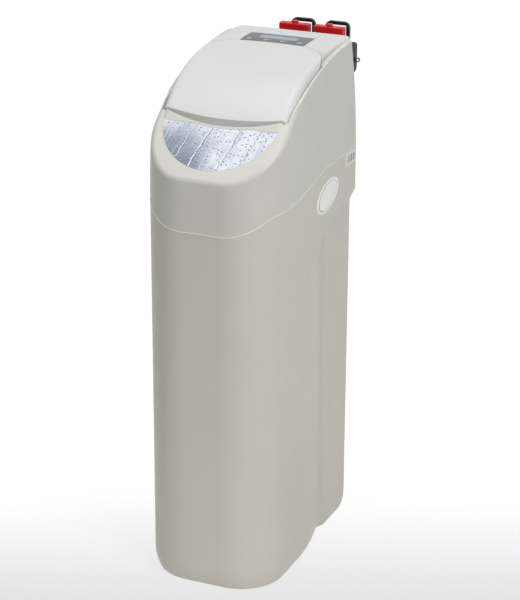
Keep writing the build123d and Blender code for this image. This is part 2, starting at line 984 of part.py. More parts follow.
with BuildPart() as resin_bed:
    add(resin_space)
    with Locations((0, tank_y, resin_top_z)):
        Cylinder(
            tank_radius, tank_top_z, align=(Align.CENTER, Align.CENTER, Align.MIN),
            mode=Mode.SUBTRACT,
        )
    with Locations((0, tank_y, 0)):
        Cylinder(
            riser_radius + fit_gap, tank_top_z, align=(Align.CENTER, Align.CENTER, Align.MIN),
            mode=Mode.SUBTRACT,
        )
    with Locations((0, tank_y, 0)):
        Cylinder(
            strainer_radius + fit_gap, strainer_top_z + fit_gap,
            align=(Align.CENTER, Align.CENTER, Align.MIN), mode=Mode.SUBTRACT,
        )
resin_bed.part.label = "resin_bed"
export_step(resin_bed.part, "parts/resin_bed.step")

with BuildPart() as riser_tube:
    with BuildSketch(Plane.XY.offset(strainer_top_z + fit_gap)):
        with Locations((0, tank_y)):
            Circle(riser_radius)
            Circle(riser_bore, mode=Mode.SUBTRACT)
    extrude(amount=tank_top_z - strainer_top_z - fit_gap)
riser_tube.part.label = "riser_tube"
export_step(riser_tube.part, "parts/riser_tube.step")


def strainer(low, high, radius, bore):
    """Slotted basket round the tank's axis between two heights."""
    with BuildPart() as basket:
        with BuildSketch(Plane.XY.offset(low)):
            with Locations((0, tank_y)):
                Circle(radius)
                Circle(bore, mode=Mode.SUBTRACT)
        extrude(amount=high - low)
        with Locations((0, tank_y, (low + high) / 2)):
            with PolarLocations(radius, strainer_slots):
                Box(
                    strainer_slot_depth, strainer_slot_width, high - low - 2 * strainer_ring,
                    mode=Mode.SUBTRACT,
                )
    return basket.part


lower_basket = strainer(
    tank_low_z + tank_wall + fit_gap, strainer_top_z, strainer_radius, riser_bore
)
upper_basket = strainer(
    tank_top_z - upper_strainer_height, tank_top_z, upper_strainer_radius,
    riser_radius + fit_gap,
)
with BuildPart() as lower_strainer:
    add(lower_basket)
lower_strainer.part.label = "lower_strainer"
export_step(lower_strainer.part, "parts/lower_strainer.step")
with BuildPart() as upper_strainer:
    add(upper_basket)
upper_strainer.part.label = "upper_strainer"
export_step(upper_strainer.part, "parts/upper_strainer.step")

# Control valve: pedestal on the tank neck, piston barrel along Y, two ports to the rear


def round_y(x, z, radius, low, high):
    """Round bar along Y between two depths."""
    with BuildPart() as bar:
        with BuildSketch(Plane.XZ.offset(-low)):
            with Locations((x, z)):
                Circle(radius)
        extrude(amount=-(high - low))
    return bar.part


barrel = round_y(0, port_z, barrel_radius, plate_y + plate_thickness, barrel_rear_y)
barrel_bore = round_y(0, port_z, stack_radius + fit_gap, plate_y, barrel_rear_y - barrel_end_wall)
port_bars = [round_y(x, port_z, port_radius, port_branch_y, port_end_y) for x in port_places]
port_bores = [round_y(x, port_z, port_bore, port_branch_y, port_end_y + 1) for x in port_places]
with BuildPart() as valve_body:
    with BuildSketch(Plane.XY.offset(tank_top_z + fit_gap)):
        with Locations((0, tank_y)):
            Circle(pedestal_flange_radius)
    extrude(amount=pedestal_flange_height)
    with BuildSketch(Plane.XY.offset(tank_top_z + fit_gap)):
        with Locations((0, tank_y)):
            Circle(pedestal_radius)
    extrude(amount=port_z - tank_top_z)
    with Locations((0, port_branch_y, port_z)):
        Cylinder(port_radius, 2 * port_places[1], rotation=(0, 90, 0))
    add(barrel)
    for bar in port_bars:
        add(bar)
    with BuildSketch(Plane.YZ.offset(-brine_port_x)):
        with Locations((brine_port_y, port_z)):
            Circle(brine_port_radius)
    extrude(amount=brine_port_x)
    with BuildSketch(Plane.XY.offset(port_z)):
        with Locations((0, drain_y)):
            Circle(drain_boss_radius)
    extrude(amount=drain_boss_z - port_z)
    add(barrel_bore, mode=Mode.SUBTRACT)
    for bore in port_bores:
        add(bore, mode=Mode.SUBTRACT)
valve_body.part.label = "valve_body"
export_step(valve_body.part, "parts/valve_body.step")

stack_front = plate_y + plate_thickness + fit_gap
stack_rear = barrel_rear_y - barrel_end_wall - fit_gap
stack_outer = round_y(0, port_z, stack_radius, stack_front, stack_rear)
stack_bore = round_y(0, port_z, piston_radius + piston_gap, stack_front - 1, stack_rear + 1)
with BuildPart() as seal_stack:
    add(stack_outer)
    for step in range(seal_spacers):
        pitch = (stack_rear - stack_front) / seal_spacers
        middle = stack_front + (step + 0.5) * pitch
        groove = round_y(0, port_z, stack_radius + 1, middle - pitch / 4, middle + pitch / 4)
        core = round_y(0, port_z, stack_radius - 3, middle - pitch / 4, middle + pitch / 4)
        add(groove, mode=Mode.SUBTRACT)
        add(core)
    add(stack_bore, mode=Mode.SUBTRACT)
seal_stack.part.label = "seal_stack"
export_step(seal_stack.part, "parts/seal_stack.step")

piston_head = round_y(0, port_z, piston_radius, piston_front_y, piston_front_y + piston_length)
piston_screw = round_y(0, port_z, screw_rod_radius, rod_front_y, piston_front_y + 1)
with BuildPart() as piston:
    add(piston_head)
    add(piston_screw)
piston.part.label = "piston"
export_step(piston.part, "parts/piston.step")


def gear_plan(teeth, turn):
    """Toothed outline round the origin, with one tooth centred at the angle turn."""
    pitch = gear_module * teeth / 2
    root = pitch - tooth_root * gear_module
    tip = pitch + tooth_tip * gear_module
    half = math.pi * gear_module / 4 * gear_tooth_share
    slant = math.tan(math.radians(pressure_angle))
    with BuildSketch() as plan:
        with BuildLine():
            points = []
            for tooth in range(teeth):
                angle = math.radians(turn) + 2 * math.pi * tooth / teeth
                for side, radius in ((-1, root), (-1, tip), (1, tip), (1, root)):
                    width = half - (radius - pitch) * slant
                    swing = angle + side * width / radius
                    points.append((radius * math.cos(swing), radius * math.sin(swing)))
            Polyline(*points, close=True)
        make_face()
    return plan.sketch


mesh_turn = math.radians(motor_angle)
mesh_distance = gear_module * (main_teeth + pinion_teeth) / 2
motor_x = mesh_distance * math.cos(mesh_turn)
motor_z = port_z + mesh_distance * math.sin(mesh_turn)
main_wheel = gear_plan(main_teeth, motor_angle)
pinion_wheel = gear_plan(pinion_teeth, motor_angle + 180 + 180 / pinion_teeth)
with BuildPart() as main_gear:
    with BuildSketch(Plane.XZ.offset(-gear_y)):
        with Locations((0, port_z)):
            add(main_wheel)
    extrude(amount=-gear_width)
    with BuildSketch(Plane.XZ.offset(-gear_y - 2)):
        with Locations((0, port_z)):
            Circle(gear_hub_radius)
    extrude(amount=-(plate_y + plate_thickness - 1 - gear_y - 2))
    with BuildSketch(Plane.XZ.offset(-gear_y + 1)):
        with Locations((0, port_z)):
            Circle(screw_rod_radius + piston_gap)
            with PolarLocations(gear_window_pitch, gear_windows):
                Circle(gear_window_radius)
    extrude(amount=-2 * gear_width - plate_thickness - cut_margin, mode=Mode.SUBTRACT)
main_gear.part.label = "main_gear"
export_step(main_gear.part, "parts/main_gear.step")

with BuildPart() as motor_pinion:
    with BuildSketch(Plane.XZ.offset(-gear_y)):
        with Locations((motor_x, motor_z)):
            add(pinion_wheel)
    extrude(amount=-gear_width)
    with BuildSketch(Plane.XZ.offset(-gear_y)):
        with Locations((motor_x, motor_z)):
            Circle(motor_shaft_radius)
    extrude(amount=-(plate_y + plate_thickness + motor_bore_depth - 1 - gear_y))
motor_pinion.part.label = "motor_pinion"
export_step(motor_pinion.part, "parts/motor_pinion.step")

motor_face = plate_y + plate_thickness
motor_can = round_y(motor_x, motor_z, motor_radius, motor_face, motor_face + motor_length)
motor_bore = round_y(
    motor_x, motor_z, motor_shaft_radius + piston_gap, plate_y, motor_face + motor_bore_depth
)
with BuildPart() as drive_motor:
    add(motor_can)
    fillet(drive_motor.edges().group_by(Axis.Y)[-1], motor_end_round)
    add(motor_bore, mode=Mode.SUBTRACT)
drive_motor.part.label = "drive_motor"
export_step(drive_motor.part, "parts/drive_motor.step")

with BuildPart() as drive_plate:
    with BuildSketch(Plane.XZ.offset(-plate_y)):
        with Locations((plate_x, plate_z)):
            RectangleRounded(plate_width, plate_height, plate_corner)
        with Locations((0, port_z)):
            Circle(gear_hub_radius + plate_bearing_gap, mode=Mode.SUBTRACT)
        with Locations((motor_x, motor_z)):
            Circle(motor_shaft_radius + fit_gap, mode=Mode.SUBTRACT)
    extrude(amount=-plate_thickness)
drive_plate.part.label = "drive_plate"
export_step(drive_plate.part, "parts/drive_plate.step")

drain_high = drain_boss_z + drain_rise
with BuildPart() as drain_elbow:
    with BuildLine():
        FilletPolyline(
            (0, drain_y, drain_boss_z + fit_gap), (0, drain_y, drain_high),
            (0, drain_end_y, drain_high), radius=drain_bend,
        )
    with BuildSketch(Plane.XY.offset(drain_boss_z + fit_gap)):
        with Locations((0, drain_y)):
            Circle(drain_radius)
            Circle(drain_bore, mode=Mode.SUBTRACT)
    sweep()
    with BuildSketch(Plane.XZ.offset(-(drain_end_y - drain_barb_length))):
        with Locations((0, drain_high)):
            Circle(drain_stop_radius)
            Circle(drain_radius - 0.5, mode=Mode.SUBTRACT)
    extrude(amount=drain_stop_length)
drain_elbow.part.label = "drain_elbow"
export_step(drain_elbow.part, "parts/drain_elbow.step")

# Bypass valve behind the hood: body, rotors with levers, nuts, adaptors, clips
tube_front = port_end_y + fit_gap
bypass_bars = [round_y(x, port_z, port_radius, tube_front, groove_front_y) for x in port_places]
collar_front_y = tube_rear_y - collar_length
collars = [round_y(x, port_z, collar_radius, collar_front_y, tube_rear_y) for x in port_places]
grooves = [round_y(x, port_z, collar_radius + 1, groove_front_y, groove_rear_y) for x in port_places]
groove_cores = [
    round_y(x, port_z, groove_radius, groove_front_y - 1, groove_rear_y + 1) for x in port_places
]
bypass_bores = [round_y(x, port_z, port_bore, tube_front - 1, tube_rear_y + 1) for x in port_places]
with BuildPart() as bypass_body:
    for bar, collar in zip(bypass_bars, collars):
        add(bar)
        add(collar)
    with Locations((0, lever_y, port_z)):
        Cylinder(bridge_radius, 2 * port_places[1], rotation=(0, 90, 0))
    with BuildSketch(Plane.XY.offset(housing_low_z)):
        with Locations(*[(x, lever_y) for x in port_places]):
            Circle(housing_radius)
    extrude(amount=housing_top_z - housing_low_z)
    fillet(bypass_body.faces().filter_by(Axis.Z).sort_by(Axis.Z)[:2].edges(), housing_round)
    for groove, core in zip(grooves, groove_cores):
        add(groove, mode=Mode.SUBTRACT)
        add(core)
    for bore in bypass_bores:
        add(bore, mode=Mode.SUBTRACT)
    with BuildSketch(Plane.XY.offset(housing_low_z + housing_floor)):
        with Locations(*[(x, lever_y) for x in port_places]):
            Circle(rotor_radius + piston_gap)
    extrude(amount=housing_top_z - housing_low_z, mode=Mode.SUBTRACT)
bypass_body.part.label = "bypass_body"
export_step(bypass_body.part, "parts/bypass_body.step")

with BuildPart() as rotor_caps:
    with BuildSketch(Plane.XY.offset(housing_top_z)):
        with Locations(*[(x, lever_y) for x in port_places]):
            Circle(housing_radius)
            Circle(stem_radius + piston_gap, mode=Mode.SUBTRACT)
    extrude(amount=rotor_cap_height)
    outer_rims = rotor_caps.edges().group_by(Axis.Z)[-1].sort_by(SortBy.RADIUS)[-2:]
    fillet(outer_rims, rotor_cap_round)
rotor_caps.part.label = "rotor_caps"
export_step(rotor_caps.part, "parts/rotor_caps.step")

for side, x in (("left", port_places[0]), ("right", port_places[1])):
    inner_end = x - math.copysign(lever_length / 2 - lever_mark_inset, x)
    flow = round_y(x, port_z, port_bore, lever_y - housing_radius, lever_y + housing_radius)
    with BuildPart() as lever:
        with BuildSketch(Plane.XY.offset(lever_low_z)):
            with Locations((x, lever_y)):
                Rectangle(lever_length, lever_width)
        extrude(amount=lever_height)
        fillet(lever.edges().filter_by(Axis.Z), lever_end_round)
        fillet(lever.faces().sort_by(Axis.Z)[-1].edges(), lever_top_round)
        with BuildSketch(Plane.XY.offset(lever_low_z + lever_height - 1)):
            with Locations((x, lever_y)):
                Circle(lever_boss_radius)
        extrude(amount=lever_boss_height + 1)
        with BuildSketch(Plane.XY.offset(lever_low_z + lever_height)):
            with Locations((inner_end, lever_y)):
                Circle(lever_mark_radius)
        extrude(amount=-lever_mark_depth, mode=Mode.SUBTRACT)
    lever.part.label = f"bypass_lever_{side}"
    export_step(lever.part, f"parts/bypass_lever_{side}.step")

    with BuildPart() as rotor:
        with BuildSketch(Plane.XY.offset(housing_low_z + housing_floor + fit_gap)):
            with Locations((x, lever_y)):
                Circle(rotor_radius)
        extrude(amount=housing_top_z - housing_low_z - housing_floor - 2 * fit_gap)
        with BuildSketch(Plane.XY.offset(port_z)):
            with Locations((x, lever_y)):
                Circle(stem_radius)
        extrude(amount=lever_low_z - port_z)
        add(flow, mode=Mode.SUBTRACT)
    rotor.part.label = f"bypass_rotor_{side}"
    export_step(rotor.part, f"parts/bypass_rotor_{side}.step")

    outward = math.copysign(1, x)
    socket = round_y(x, port_z, collar_radius + fit_gap, adaptor_front_y - 1, tube_rear_y + fit_gap)
    spigot = round_y(x, port_z, pipe_radius, adaptor_rear_y - 1, pipe_end_y)
    pipe_hole = round_y(x, port_z, port_bore, adaptor_front_y, pipe_end_y + 1)
    with BuildPart() as adaptor:
        with BuildSketch(Plane.XZ.offset(-adaptor_front_y)):
            with Locations((x + outward * adaptor_shift, adaptor_top_z)):
                Rectangle(
                    2 * adaptor_half_width, adaptor_top_z - adaptor_low_z,
                    align=(Align.CENTER, Align.MAX),
                )
        extrude(amount=-(adaptor_rear_y - adaptor_front_y))
        fillet(adaptor.edges().filter_by(Axis.Y).group_by(Axis.Z)[-1], adaptor_corner)
        fillet(adaptor.edges().filter_by(Axis.Y).group_by(Axis.Z)[0], adaptor_low_corner)
        eyelet_front_y = (adaptor_front_y + adaptor_rear_y - eyelet_thickness) / 2
        with BuildSketch(Plane.XZ.offset(-eyelet_front_y)):
            with Locations((x + outward * eyelet_reach, eyelet_z)):
                Circle(eyelet_radius)
            with Locations((x + outward * (adaptor_half_width + eyelet_reach) / 2, eyelet_z)):
                Rectangle(eyelet_reach - adaptor_half_width + eyelet_root, eyelet_neck)
            with Locations((x + outward * eyelet_reach, eyelet_z)):
                Circle(eyelet_hole, mode=Mode.SUBTRACT)
        extrude(amount=-eyelet_thickness)
        add(spigot)
        add(socket, mode=Mode.SUBTRACT)
        add(pipe_hole, mode=Mode.SUBTRACT)
        with Locations(*[
            (x + s * clip_leg_x, (groove_front_y + groove_rear_y) / 2, port_z) for s in (-1, 1)
        ]):
            Box(
                clip_strap + 2 * clip_gap, groove_rear_y - groove_front_y, 4 * adaptor_half_width,
                mode=Mode.SUBTRACT,
            )
    adaptor.part.label = f"pipe_adaptor_{side}"
    export_step(adaptor.part, f"parts/pipe_adaptor_{side}.step")

    with BuildPart() as clip:
        with BuildSketch(Plane.XZ.offset(-groove_front_y - clip_gap)):
            with Locations((x, clip_top_z)):
                Rectangle(
                    2 * clip_leg_x + clip_strap, clip_top_z - clip_low_z,
                    align=(Align.CENTER, Align.MAX),
                )
        extrude(amount=-clip_depth)
        fillet(clip.edges().filter_by(Axis.Y).group_by(Axis.Z)[-1], clip_corner)
        with BuildSketch(Plane.XZ.offset(-groove_front_y)):
            with Locations((x, clip_top_z - clip_strap)):
                Rectangle(
                    2 * clip_leg_x - clip_strap,
                    clip_top_z - clip_strap - adaptor_top_z - clip_bar_height - clip_gap,
                    align=(Align.CENTER, Align.MAX),
                )
            with Locations((x, adaptor_top_z + clip_gap)):
                Rectangle(
                    2 * clip_leg_x - clip_strap, adaptor_top_z - clip_low_z + clip_strap,
                    align=(Align.CENTER, Align.MAX),
                )
        extrude(amount=-2 * clip_depth, mode=Mode.SUBTRACT)
    clip.part.label = f"port_clip_{side}"
    export_step(clip.part, f"parts/port_clip_{side}.step")

with BuildPart() as union_nuts:
    with BuildSketch(Plane.XZ.offset(-nut_front_y)):
        for x in port_places:
            with Locations((x, port_z)):
                Circle(nut_radius)
                with PolarLocations(nut_radius, nut_ribs):
                    Circle(nut_rib_radius)
                Circle(port_radius + fit_gap, mode=Mode.SUBTRACT)
    extrude(amount=-nut_length)
union_nuts.part.label = "union_nuts"
export_step(union_nuts.part, "parts/union_nuts.step")

# Salt side: grid on legs, brine well with cap, float valve, float, brine line
well_keep = well_radius + well_grid_gap
grid_outline = waist_plan(wall + grid_clearance)
with BuildPart() as salt_grid:
    with BuildSketch(Plane.XY.offset(grid_z)):
        add(grid_outline)
        with Locations((0, grid_rear_y)):
            Rectangle(
                cabinet_width, cabinet_depth,
                align=(Align.CENTER, Align.MIN), mode=Mode.SUBTRACT,
            )
        with Locations((well_x, well_y)):
            Circle(well_keep, mode=Mode.SUBTRACT)
        with Locations((grid_slot_x, grid_slot_y)):
            with GridLocations(grid_slot_pitch_x, grid_slot_pitch_y, grid_slots_x, grid_slots_y):
                SlotOverall(grid_slot_length, grid_slot_width, mode=Mode.SUBTRACT)
    extrude(amount=grid_thickness)
    with BuildSketch(Plane.XY.offset(wall + fit_gap)):
        with Locations(*grid_legs):
            Circle(grid_leg_radius)
    extrude(amount=grid_z - wall - fit_gap + 1)
salt_grid.part.label = "salt_grid"
export_step(salt_grid.part, "parts/salt_grid.step")

with BuildPart() as brine_well:
    with BuildSketch(Plane.XY.offset(wall + fit_gap)):
        with Locations((well_x, well_y)):
            Circle(well_radius)
            Circle(well_radius - well_wall, mode=Mode.SUBTRACT)
    extrude(amount=well_top_z - wall - fit_gap)
    with Locations((well_x, well_y, well_slot_z)):
        with PolarLocations(well_radius, well_slots):
            Box(3 * well_wall, well_slot_width, well_slot_height, mode=Mode.SUBTRACT)
brine_well.part.label = "brine_well"
export_step(brine_well.part, "parts/brine_well.step")

cap_low_z = well_top_z - cap_overlap
with BuildPart() as well_cap:
    with BuildSketch(Plane.XY.offset(cap_low_z)):
        with Locations((well_x, well_y)):
            Circle(well_radius + cap_edge)
    extrude(amount=cap_overlap + cap_top)
    fillet(well_cap.edges().group_by(Axis.Z)[-1], cap_top - 1)
    with BuildSketch(Plane.XY.offset(cap_low_z)):
        with Locations((well_x, well_y)):
            Circle(well_radius + fit_gap)
    extrude(amount=cap_overlap + fit_gap, mode=Mode.SUBTRACT)
    with BuildSketch(Plane.XY.offset(cap_low_z)):
        with Locations((well_x, well_y)):
            Circle(brine_radius + 1)
    extrude(amount=cut_margin, mode=Mode.SUBTRACT)
well_cap.part.label = "well_cap"
export_step(well_cap.part, "parts/well_cap.step")

with BuildPart() as float_valve:
    with BuildSketch(Plane.XY.offset(valve_block_z)):
        with Locations((well_x, well_y)):
            Rectangle(2 * (well_radius - well_wall - fit_gap) - 4, valve_block_width)
            Circle(valve_block_radius)
    extrude(amount=well_top_z - valve_block_drop - valve_block_z)
    with BuildSketch(Plane.XY.offset(float_rod_low_z)):
        with Locations((well_x, well_y)):
            Circle(float_rod_radius)
    extrude(amount=valve_block_z - float_rod_low_z + 1)
    with BuildSketch(Plane.XY.offset(float_stop_z - float_stop_height)):
        with Locations((well_x, well_y)):
            Circle(float_stop_radius)
    extrude(amount=float_stop_height)
    with BuildSketch(Plane.XY.offset(well_top_z - valve_spigot_drop)):
        with Locations((well_x, well_y)):
            Circle(brine_radius + valve_spigot_wall)
    extrude(amount=valve_spigot_height)
float_valve.part.label = "float_valve"
export_step(float_valve.part, "parts/float_valve.step")

with BuildPart() as float_ball:
    with BuildSketch(Plane.XY.offset(float_stop_z + fit_gap)):
        with Locations((well_x, well_y)):
            Circle(float_radius)
    extrude(amount=float_height)
    fillet(float_ball.edges(), float_edge)
    with BuildSketch(Plane.XY.offset(float_stop_z)):
        with Locations((well_x, well_y)):
            Circle(float_rod_radius + float_clearance)
    extrude(amount=float_height + 2, mode=Mode.SUBTRACT)
float_ball.part.label = "float"
export_step(float_ball.part, "parts/float.step")

brine_path = [
    (well_x, well_y, brine_start_z),
    (well_x, well_y, brine_turn_z),
    (well_x, brine_mid_y, port_z),
    (well_x - 0.5, brine_port_y, port_z),
    (-brine_port_x - fit_gap, brine_port_y, port_z),
]
with BuildPart() as brine_line:
    with BuildLine():
        FilletPolyline(*brine_path, radius=brine_bends)
    with BuildSketch(Plane.XY.offset(brine_start_z)):
        with Locations((well_x, well_y)):
            Circle(brine_radius)
    sweep()
brine_line.part.label = "brine_line"
export_step(brine_line.part, "parts/brine_line.step")

# Fittings on the rear walls
rear_face = half_depth
overflow_thread = round_y(
    overflow_x, overflow_z, overflow_radius, rear_face - overflow_thread_length, rear_face + 1
)
overflow_flange = round_y(
    overflow_x, overflow_z, overflow_radius + overflow_flange_rim,
    rear_face, rear_face + overflow_flange_thickness,
)
overflow_inside = round_y(
    overflow_x, overflow_z, overflow_bore,
    rear_face - cut_margin, rear_face + overflow_flange_thickness + 1,
)
overflow_hole = round_y(
    overflow_x, overflow_z, overflow_radius + fit_gap, rear_face - 3 * wall, rear_face + wall
)
with BuildPart() as overflow_elbow:
    add(overflow_thread)
    add(overflow_flange)
    with BuildLine():
        FilletPolyline(
            (overflow_x, rear_face + 2, overflow_z),
            (overflow_x, rear_face + overflow_reach, overflow_z),
            (overflow_x, rear_face + overflow_reach, overflow_z - overflow_drop),
            radius=overflow_bend,
        )
    with BuildSketch(Plane.XZ.offset(-rear_face - 2)):
        with Locations((overflow_x, overflow_z)):
            Circle(overflow_barb_radius)
            Circle(overflow_bore, mode=Mode.SUBTRACT)
    sweep()
    add(overflow_inside, mode=Mode.SUBTRACT)
overflow_elbow.part.label = "overflow_elbow"
export_step(overflow_elbow.part, "parts/overflow_elbow.step")

nut_start = rear_face - wall - overflow_nut_length
overflow_nut_bar = round_y(
    overflow_x, overflow_z, overflow_radius + overflow_nut_rim, nut_start, rear_face - wall
)
overflow_nut_bore = round_y(
    overflow_x, overflow_z, overflow_radius + fit_gap, nut_start - 1, rear_face
)
with BuildPart() as overflow_nut:
    add(overflow_nut_bar)
    add(overflow_nut_bore, mode=Mode.SUBTRACT)
overflow_nut.part.label = "overflow_nut"
export_step(overflow_nut.part, "parts/overflow_nut.step")

screw_tip = rear_face - screw_length
screw_end = rear_face + screw_head_height
screw_bars = [round_y(x, z, screw_radius, screw_tip, rear_face) for x, z in screw_places]
screw_heads = [round_y(x, z, screw_head_radius, rear_face, screw_end) for x, z in screw_places]
with BuildPart() as hood_screws:
    for bar, head in zip(screw_bars, screw_heads):
        add(bar)
        add(head)
hood_screws.part.label = "hood_screws"
export_step(hood_screws.part, "parts/hood_screws.step")

inlet_lean = lean_rear * ((inlet_z - lean_start_z) / (hood_top_z - lean_start_z)) ** 2
inlet_face = rear_face - inlet_lean + 1
inlet_neck = round_y(
    inlet_x, inlet_z, inlet_neck_radius, inlet_face - inlet_neck_length, inlet_face + 1
)
inlet_flange = round_y(
    inlet_x, inlet_z, inlet_neck_radius + inlet_flange_rim,
    inlet_face, inlet_face + inlet_flange_thickness,
)
inlet_hole = round_y(
    inlet_x, inlet_z, inlet_bore, inlet_face - cut_margin, inlet_face + cut_margin
)
with BuildPart() as power_inlet:
    add(inlet_neck)
    add(inlet_flange)
    fillet(power_inlet.edges().group_by(Axis.Y)[-1], 2)
    add(inlet_hole, mode=Mode.SUBTRACT)
power_inlet.part.label = "power_inlet"
export_step(power_inlet.part, "parts/power_inlet.step")

# Badge and label on the cabinet's right side
with BuildPart() as side_badge:
    with BuildSketch(Plane.YZ.offset(half_width)):
        with Locations(Location((badge_y, badge_z, 0), (0, 0, badge_tilt))):
            Ellipse(badge_half_length, badge_half_height)
    extrude(amount=badge_thickness)
    fillet(side_badge.edges().group_by(Axis.X)[-1], badge_thickness - badge_rim)
side_badge.part.label = "side_badge"
export_step(side_badge.part, "parts/side_badge.step")

with BuildPart() as rear_label:
    with BuildSketch(Plane.YZ.offset(half_width)):
        with Locations((label_y, label_z)):
            RectangleRounded(label_length, label_height, label_corner)
    extrude(amount=label_thickness)
rear_label.part.label = "rear_label"
export_step(rear_label.part, "parts/rear_label.step")

# Cabinet, finished: holes for overflow and hood screws
with BuildPart() as cabinet_moulding:
    add(cabinet_shell.part)
    add(overflow_hole, mode=Mode.SUBTRACT)
    with Locations(*[Location((x, rear_face + 1, z), (90, 0, 0)) for x, z in screw_places]):
        Cylinder(
            screw_radius + screw_clearance, 4 * wall,
            align=(Align.CENTER, Align.CENTER, Align.MIN), mode=Mode.SUBTRACT,
        )
cabinet_moulding.part.label = "cabinet"
export_step(cabinet_moulding.part, "parts/cabinet.step")
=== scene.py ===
import json
import math

import bmesh
import bpy
from mathutils import Matrix, Vector

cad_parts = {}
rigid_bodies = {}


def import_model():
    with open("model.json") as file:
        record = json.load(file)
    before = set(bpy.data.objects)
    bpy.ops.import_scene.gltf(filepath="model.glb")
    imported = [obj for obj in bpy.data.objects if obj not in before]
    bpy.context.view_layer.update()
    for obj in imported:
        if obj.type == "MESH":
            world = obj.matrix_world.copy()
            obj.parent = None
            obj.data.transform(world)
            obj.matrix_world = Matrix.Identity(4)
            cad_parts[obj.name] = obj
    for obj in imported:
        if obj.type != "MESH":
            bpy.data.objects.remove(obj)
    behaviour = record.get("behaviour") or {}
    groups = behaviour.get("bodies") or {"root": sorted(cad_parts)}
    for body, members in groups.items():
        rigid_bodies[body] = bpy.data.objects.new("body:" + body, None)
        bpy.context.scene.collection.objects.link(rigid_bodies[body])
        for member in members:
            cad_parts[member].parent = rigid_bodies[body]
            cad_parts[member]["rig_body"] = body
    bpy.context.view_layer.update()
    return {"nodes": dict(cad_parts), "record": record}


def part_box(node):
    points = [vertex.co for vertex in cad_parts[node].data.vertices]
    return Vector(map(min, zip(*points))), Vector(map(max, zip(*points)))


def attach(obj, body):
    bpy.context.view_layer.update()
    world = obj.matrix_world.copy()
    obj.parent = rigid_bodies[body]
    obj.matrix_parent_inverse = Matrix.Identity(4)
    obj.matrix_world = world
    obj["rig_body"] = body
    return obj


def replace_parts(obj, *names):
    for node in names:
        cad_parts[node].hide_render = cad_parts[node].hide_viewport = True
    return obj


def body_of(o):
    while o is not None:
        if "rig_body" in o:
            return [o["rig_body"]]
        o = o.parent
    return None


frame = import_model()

# Everything is in metres: X to the object's right, Y to its rear, Z up, origin on the floor.

# Camera, as the photograph was taken
CAMERA_TURN = math.radians(23.82)
CAMERA_TILT = math.radians(20.57)
CAMERA_ROLL = math.radians(0.26)
CAMERA_DISTANCE = 4.1346
CAMERA_AIM_HEIGHT = 0.55
CAMERA_SIDESTEP = 0.02245
CAMERA_LIFT = -0.0046
FOCAL_PIXELS = 2014.0
IMAGE_HEIGHT_PIXELS = 600
SENSOR_MM = 36

# Half-moon fascia that carries the front insert: one point of its plane, and its slope
FASCIA_CORNER = (-0.118, 0.966)
FASCIA_SLOPE = math.radians(41.8)

# Water on the insert's film. Runs: middle, half width and strength, then their core and their
# bright flank's shift in half widths. Beads: pitch, radius and share, then where light is from
RUNS = [(-0.083, 0.0011, 0.6), (-0.036, 0.0013, 0.8), (0.0, 0.0017, 1.0),
        (0.024, 0.001, 0.7), (0.061, 0.0014, 0.9), (0.1, 0.0011, 0.6)]
RUN_CORE = 0.3
RUN_GLINT_SHIFT = 1.3
BEADS = [(0.0088, 0.0018, 0.42), (0.0056, 0.001, 0.5)]
BEAD_LIGHT = (0.35, 0.94, 0.0)

# Crown of the hood, behind the lid and between the two coves
CROWN_HALF_WIDTH = 0.1305
CROWN_FRONT_Y = 0.09
CROWN_BLUR = 0.0006
CROWN_RISE = (0.3, 0.6)

# Rolled bead along the hood's lower edge, which is found where the outer wall folds under
LIP_RADIUS = 0.001
LIP_SINK = 0.0004
LIP_SIDES = 10
FOOT_WALL_TILT = 0.5
FOOT_FOLD = 0.35
FOOT_OUTWARD = 0.02
WELD_DIGITS = 5

# Badge on the right side of the cabinet: its profile as inset and height, and its printed
# ring in shares of its own size, which swells towards the front
BADGE_HALF_LENGTH = 0.057
BADGE_HALF_HEIGHT = 0.030
BADGE_TILT = math.radians(15)
BADGE_RING_REACH = 0.84
BADGE_RING_HALF_LINE = 0.02
BADGE_RING_SWELL = 0.014
BADGE_RING_BLUR = 0.008
BADGE_PROFILE = [(0.0, 0.0), (0.0, 0.0012), (0.0004, 0.0017), (0.0012, 0.0019), (0.0024, 0.0018),
                 (0.003, 0.0014), (0.0034, 0.001), (0.004, 0.001), (0.0046, 0.0013),
                 (0.008, 0.0015), (0.014, 0.0017), (0.021, 0.0018), (0.026, 0.00184)]

# Hood screws on the rear wall: the heads' profile as inset and height, their cross recess,
# and how far each one is turned
SCREW_RADIUS = 0.0045
SCREW_SIDES = 40
SCREW_HEIGHT = 0.0022
SCREW_PROFILE = [(0.0, 0.0), (0.0, 0.0011), (0.0004, 0.0017), (0.0012, 0.0021),
                 (0.0019, SCREW_HEIGHT)]
SCREW_CROSS_ARM = 0.0023
SCREW_CROSS_WIDTH = 0.0009
SCREW_CROSS_DEPTH = 0.0013
SCREW_CROSS_TAPER = 0.8
SCREW_TURNS = (math.radians(-24.8), math.radians(64.8))

# Printed ring and sign on each key
TOP_FACING = 0.85
MARK_RADIUS = 0.0048
MARK_SIDES = 48
MARK_LINE = 0.0011
MARK_THICKNESS = 0.00012
SIGN_REACH = 0.0011
SIGN_FOOT = 0.0007
SIGN_LINE = 0.0006
SIGN_SQUARE = 0.0012

# Grey discs in the round marks sunk in the levers: inset from the inner end, depth from the top
LEVER_MARK_INSET = 0.009
LEVER_MARK_DEPTH = 0.0068
LEVER_MARK_RADIUS = 0.0037
LEVER_MARK_SIDES = 40
LEVER_MARK_PROFILE = [(0.0, 0.0), (0.0, 0.0006), (0.0004, 0.001), (0.0016, 0.0011)]

# Plain bars printed on the rear label, inside its edge
LABEL_EDGE = 0.005
LABEL_BAR_SIZE = 0.0044
LABEL_INK_FROM = 0.52

# Smooth shading stops at edges sharper than this
CREASE = math.radians(28)

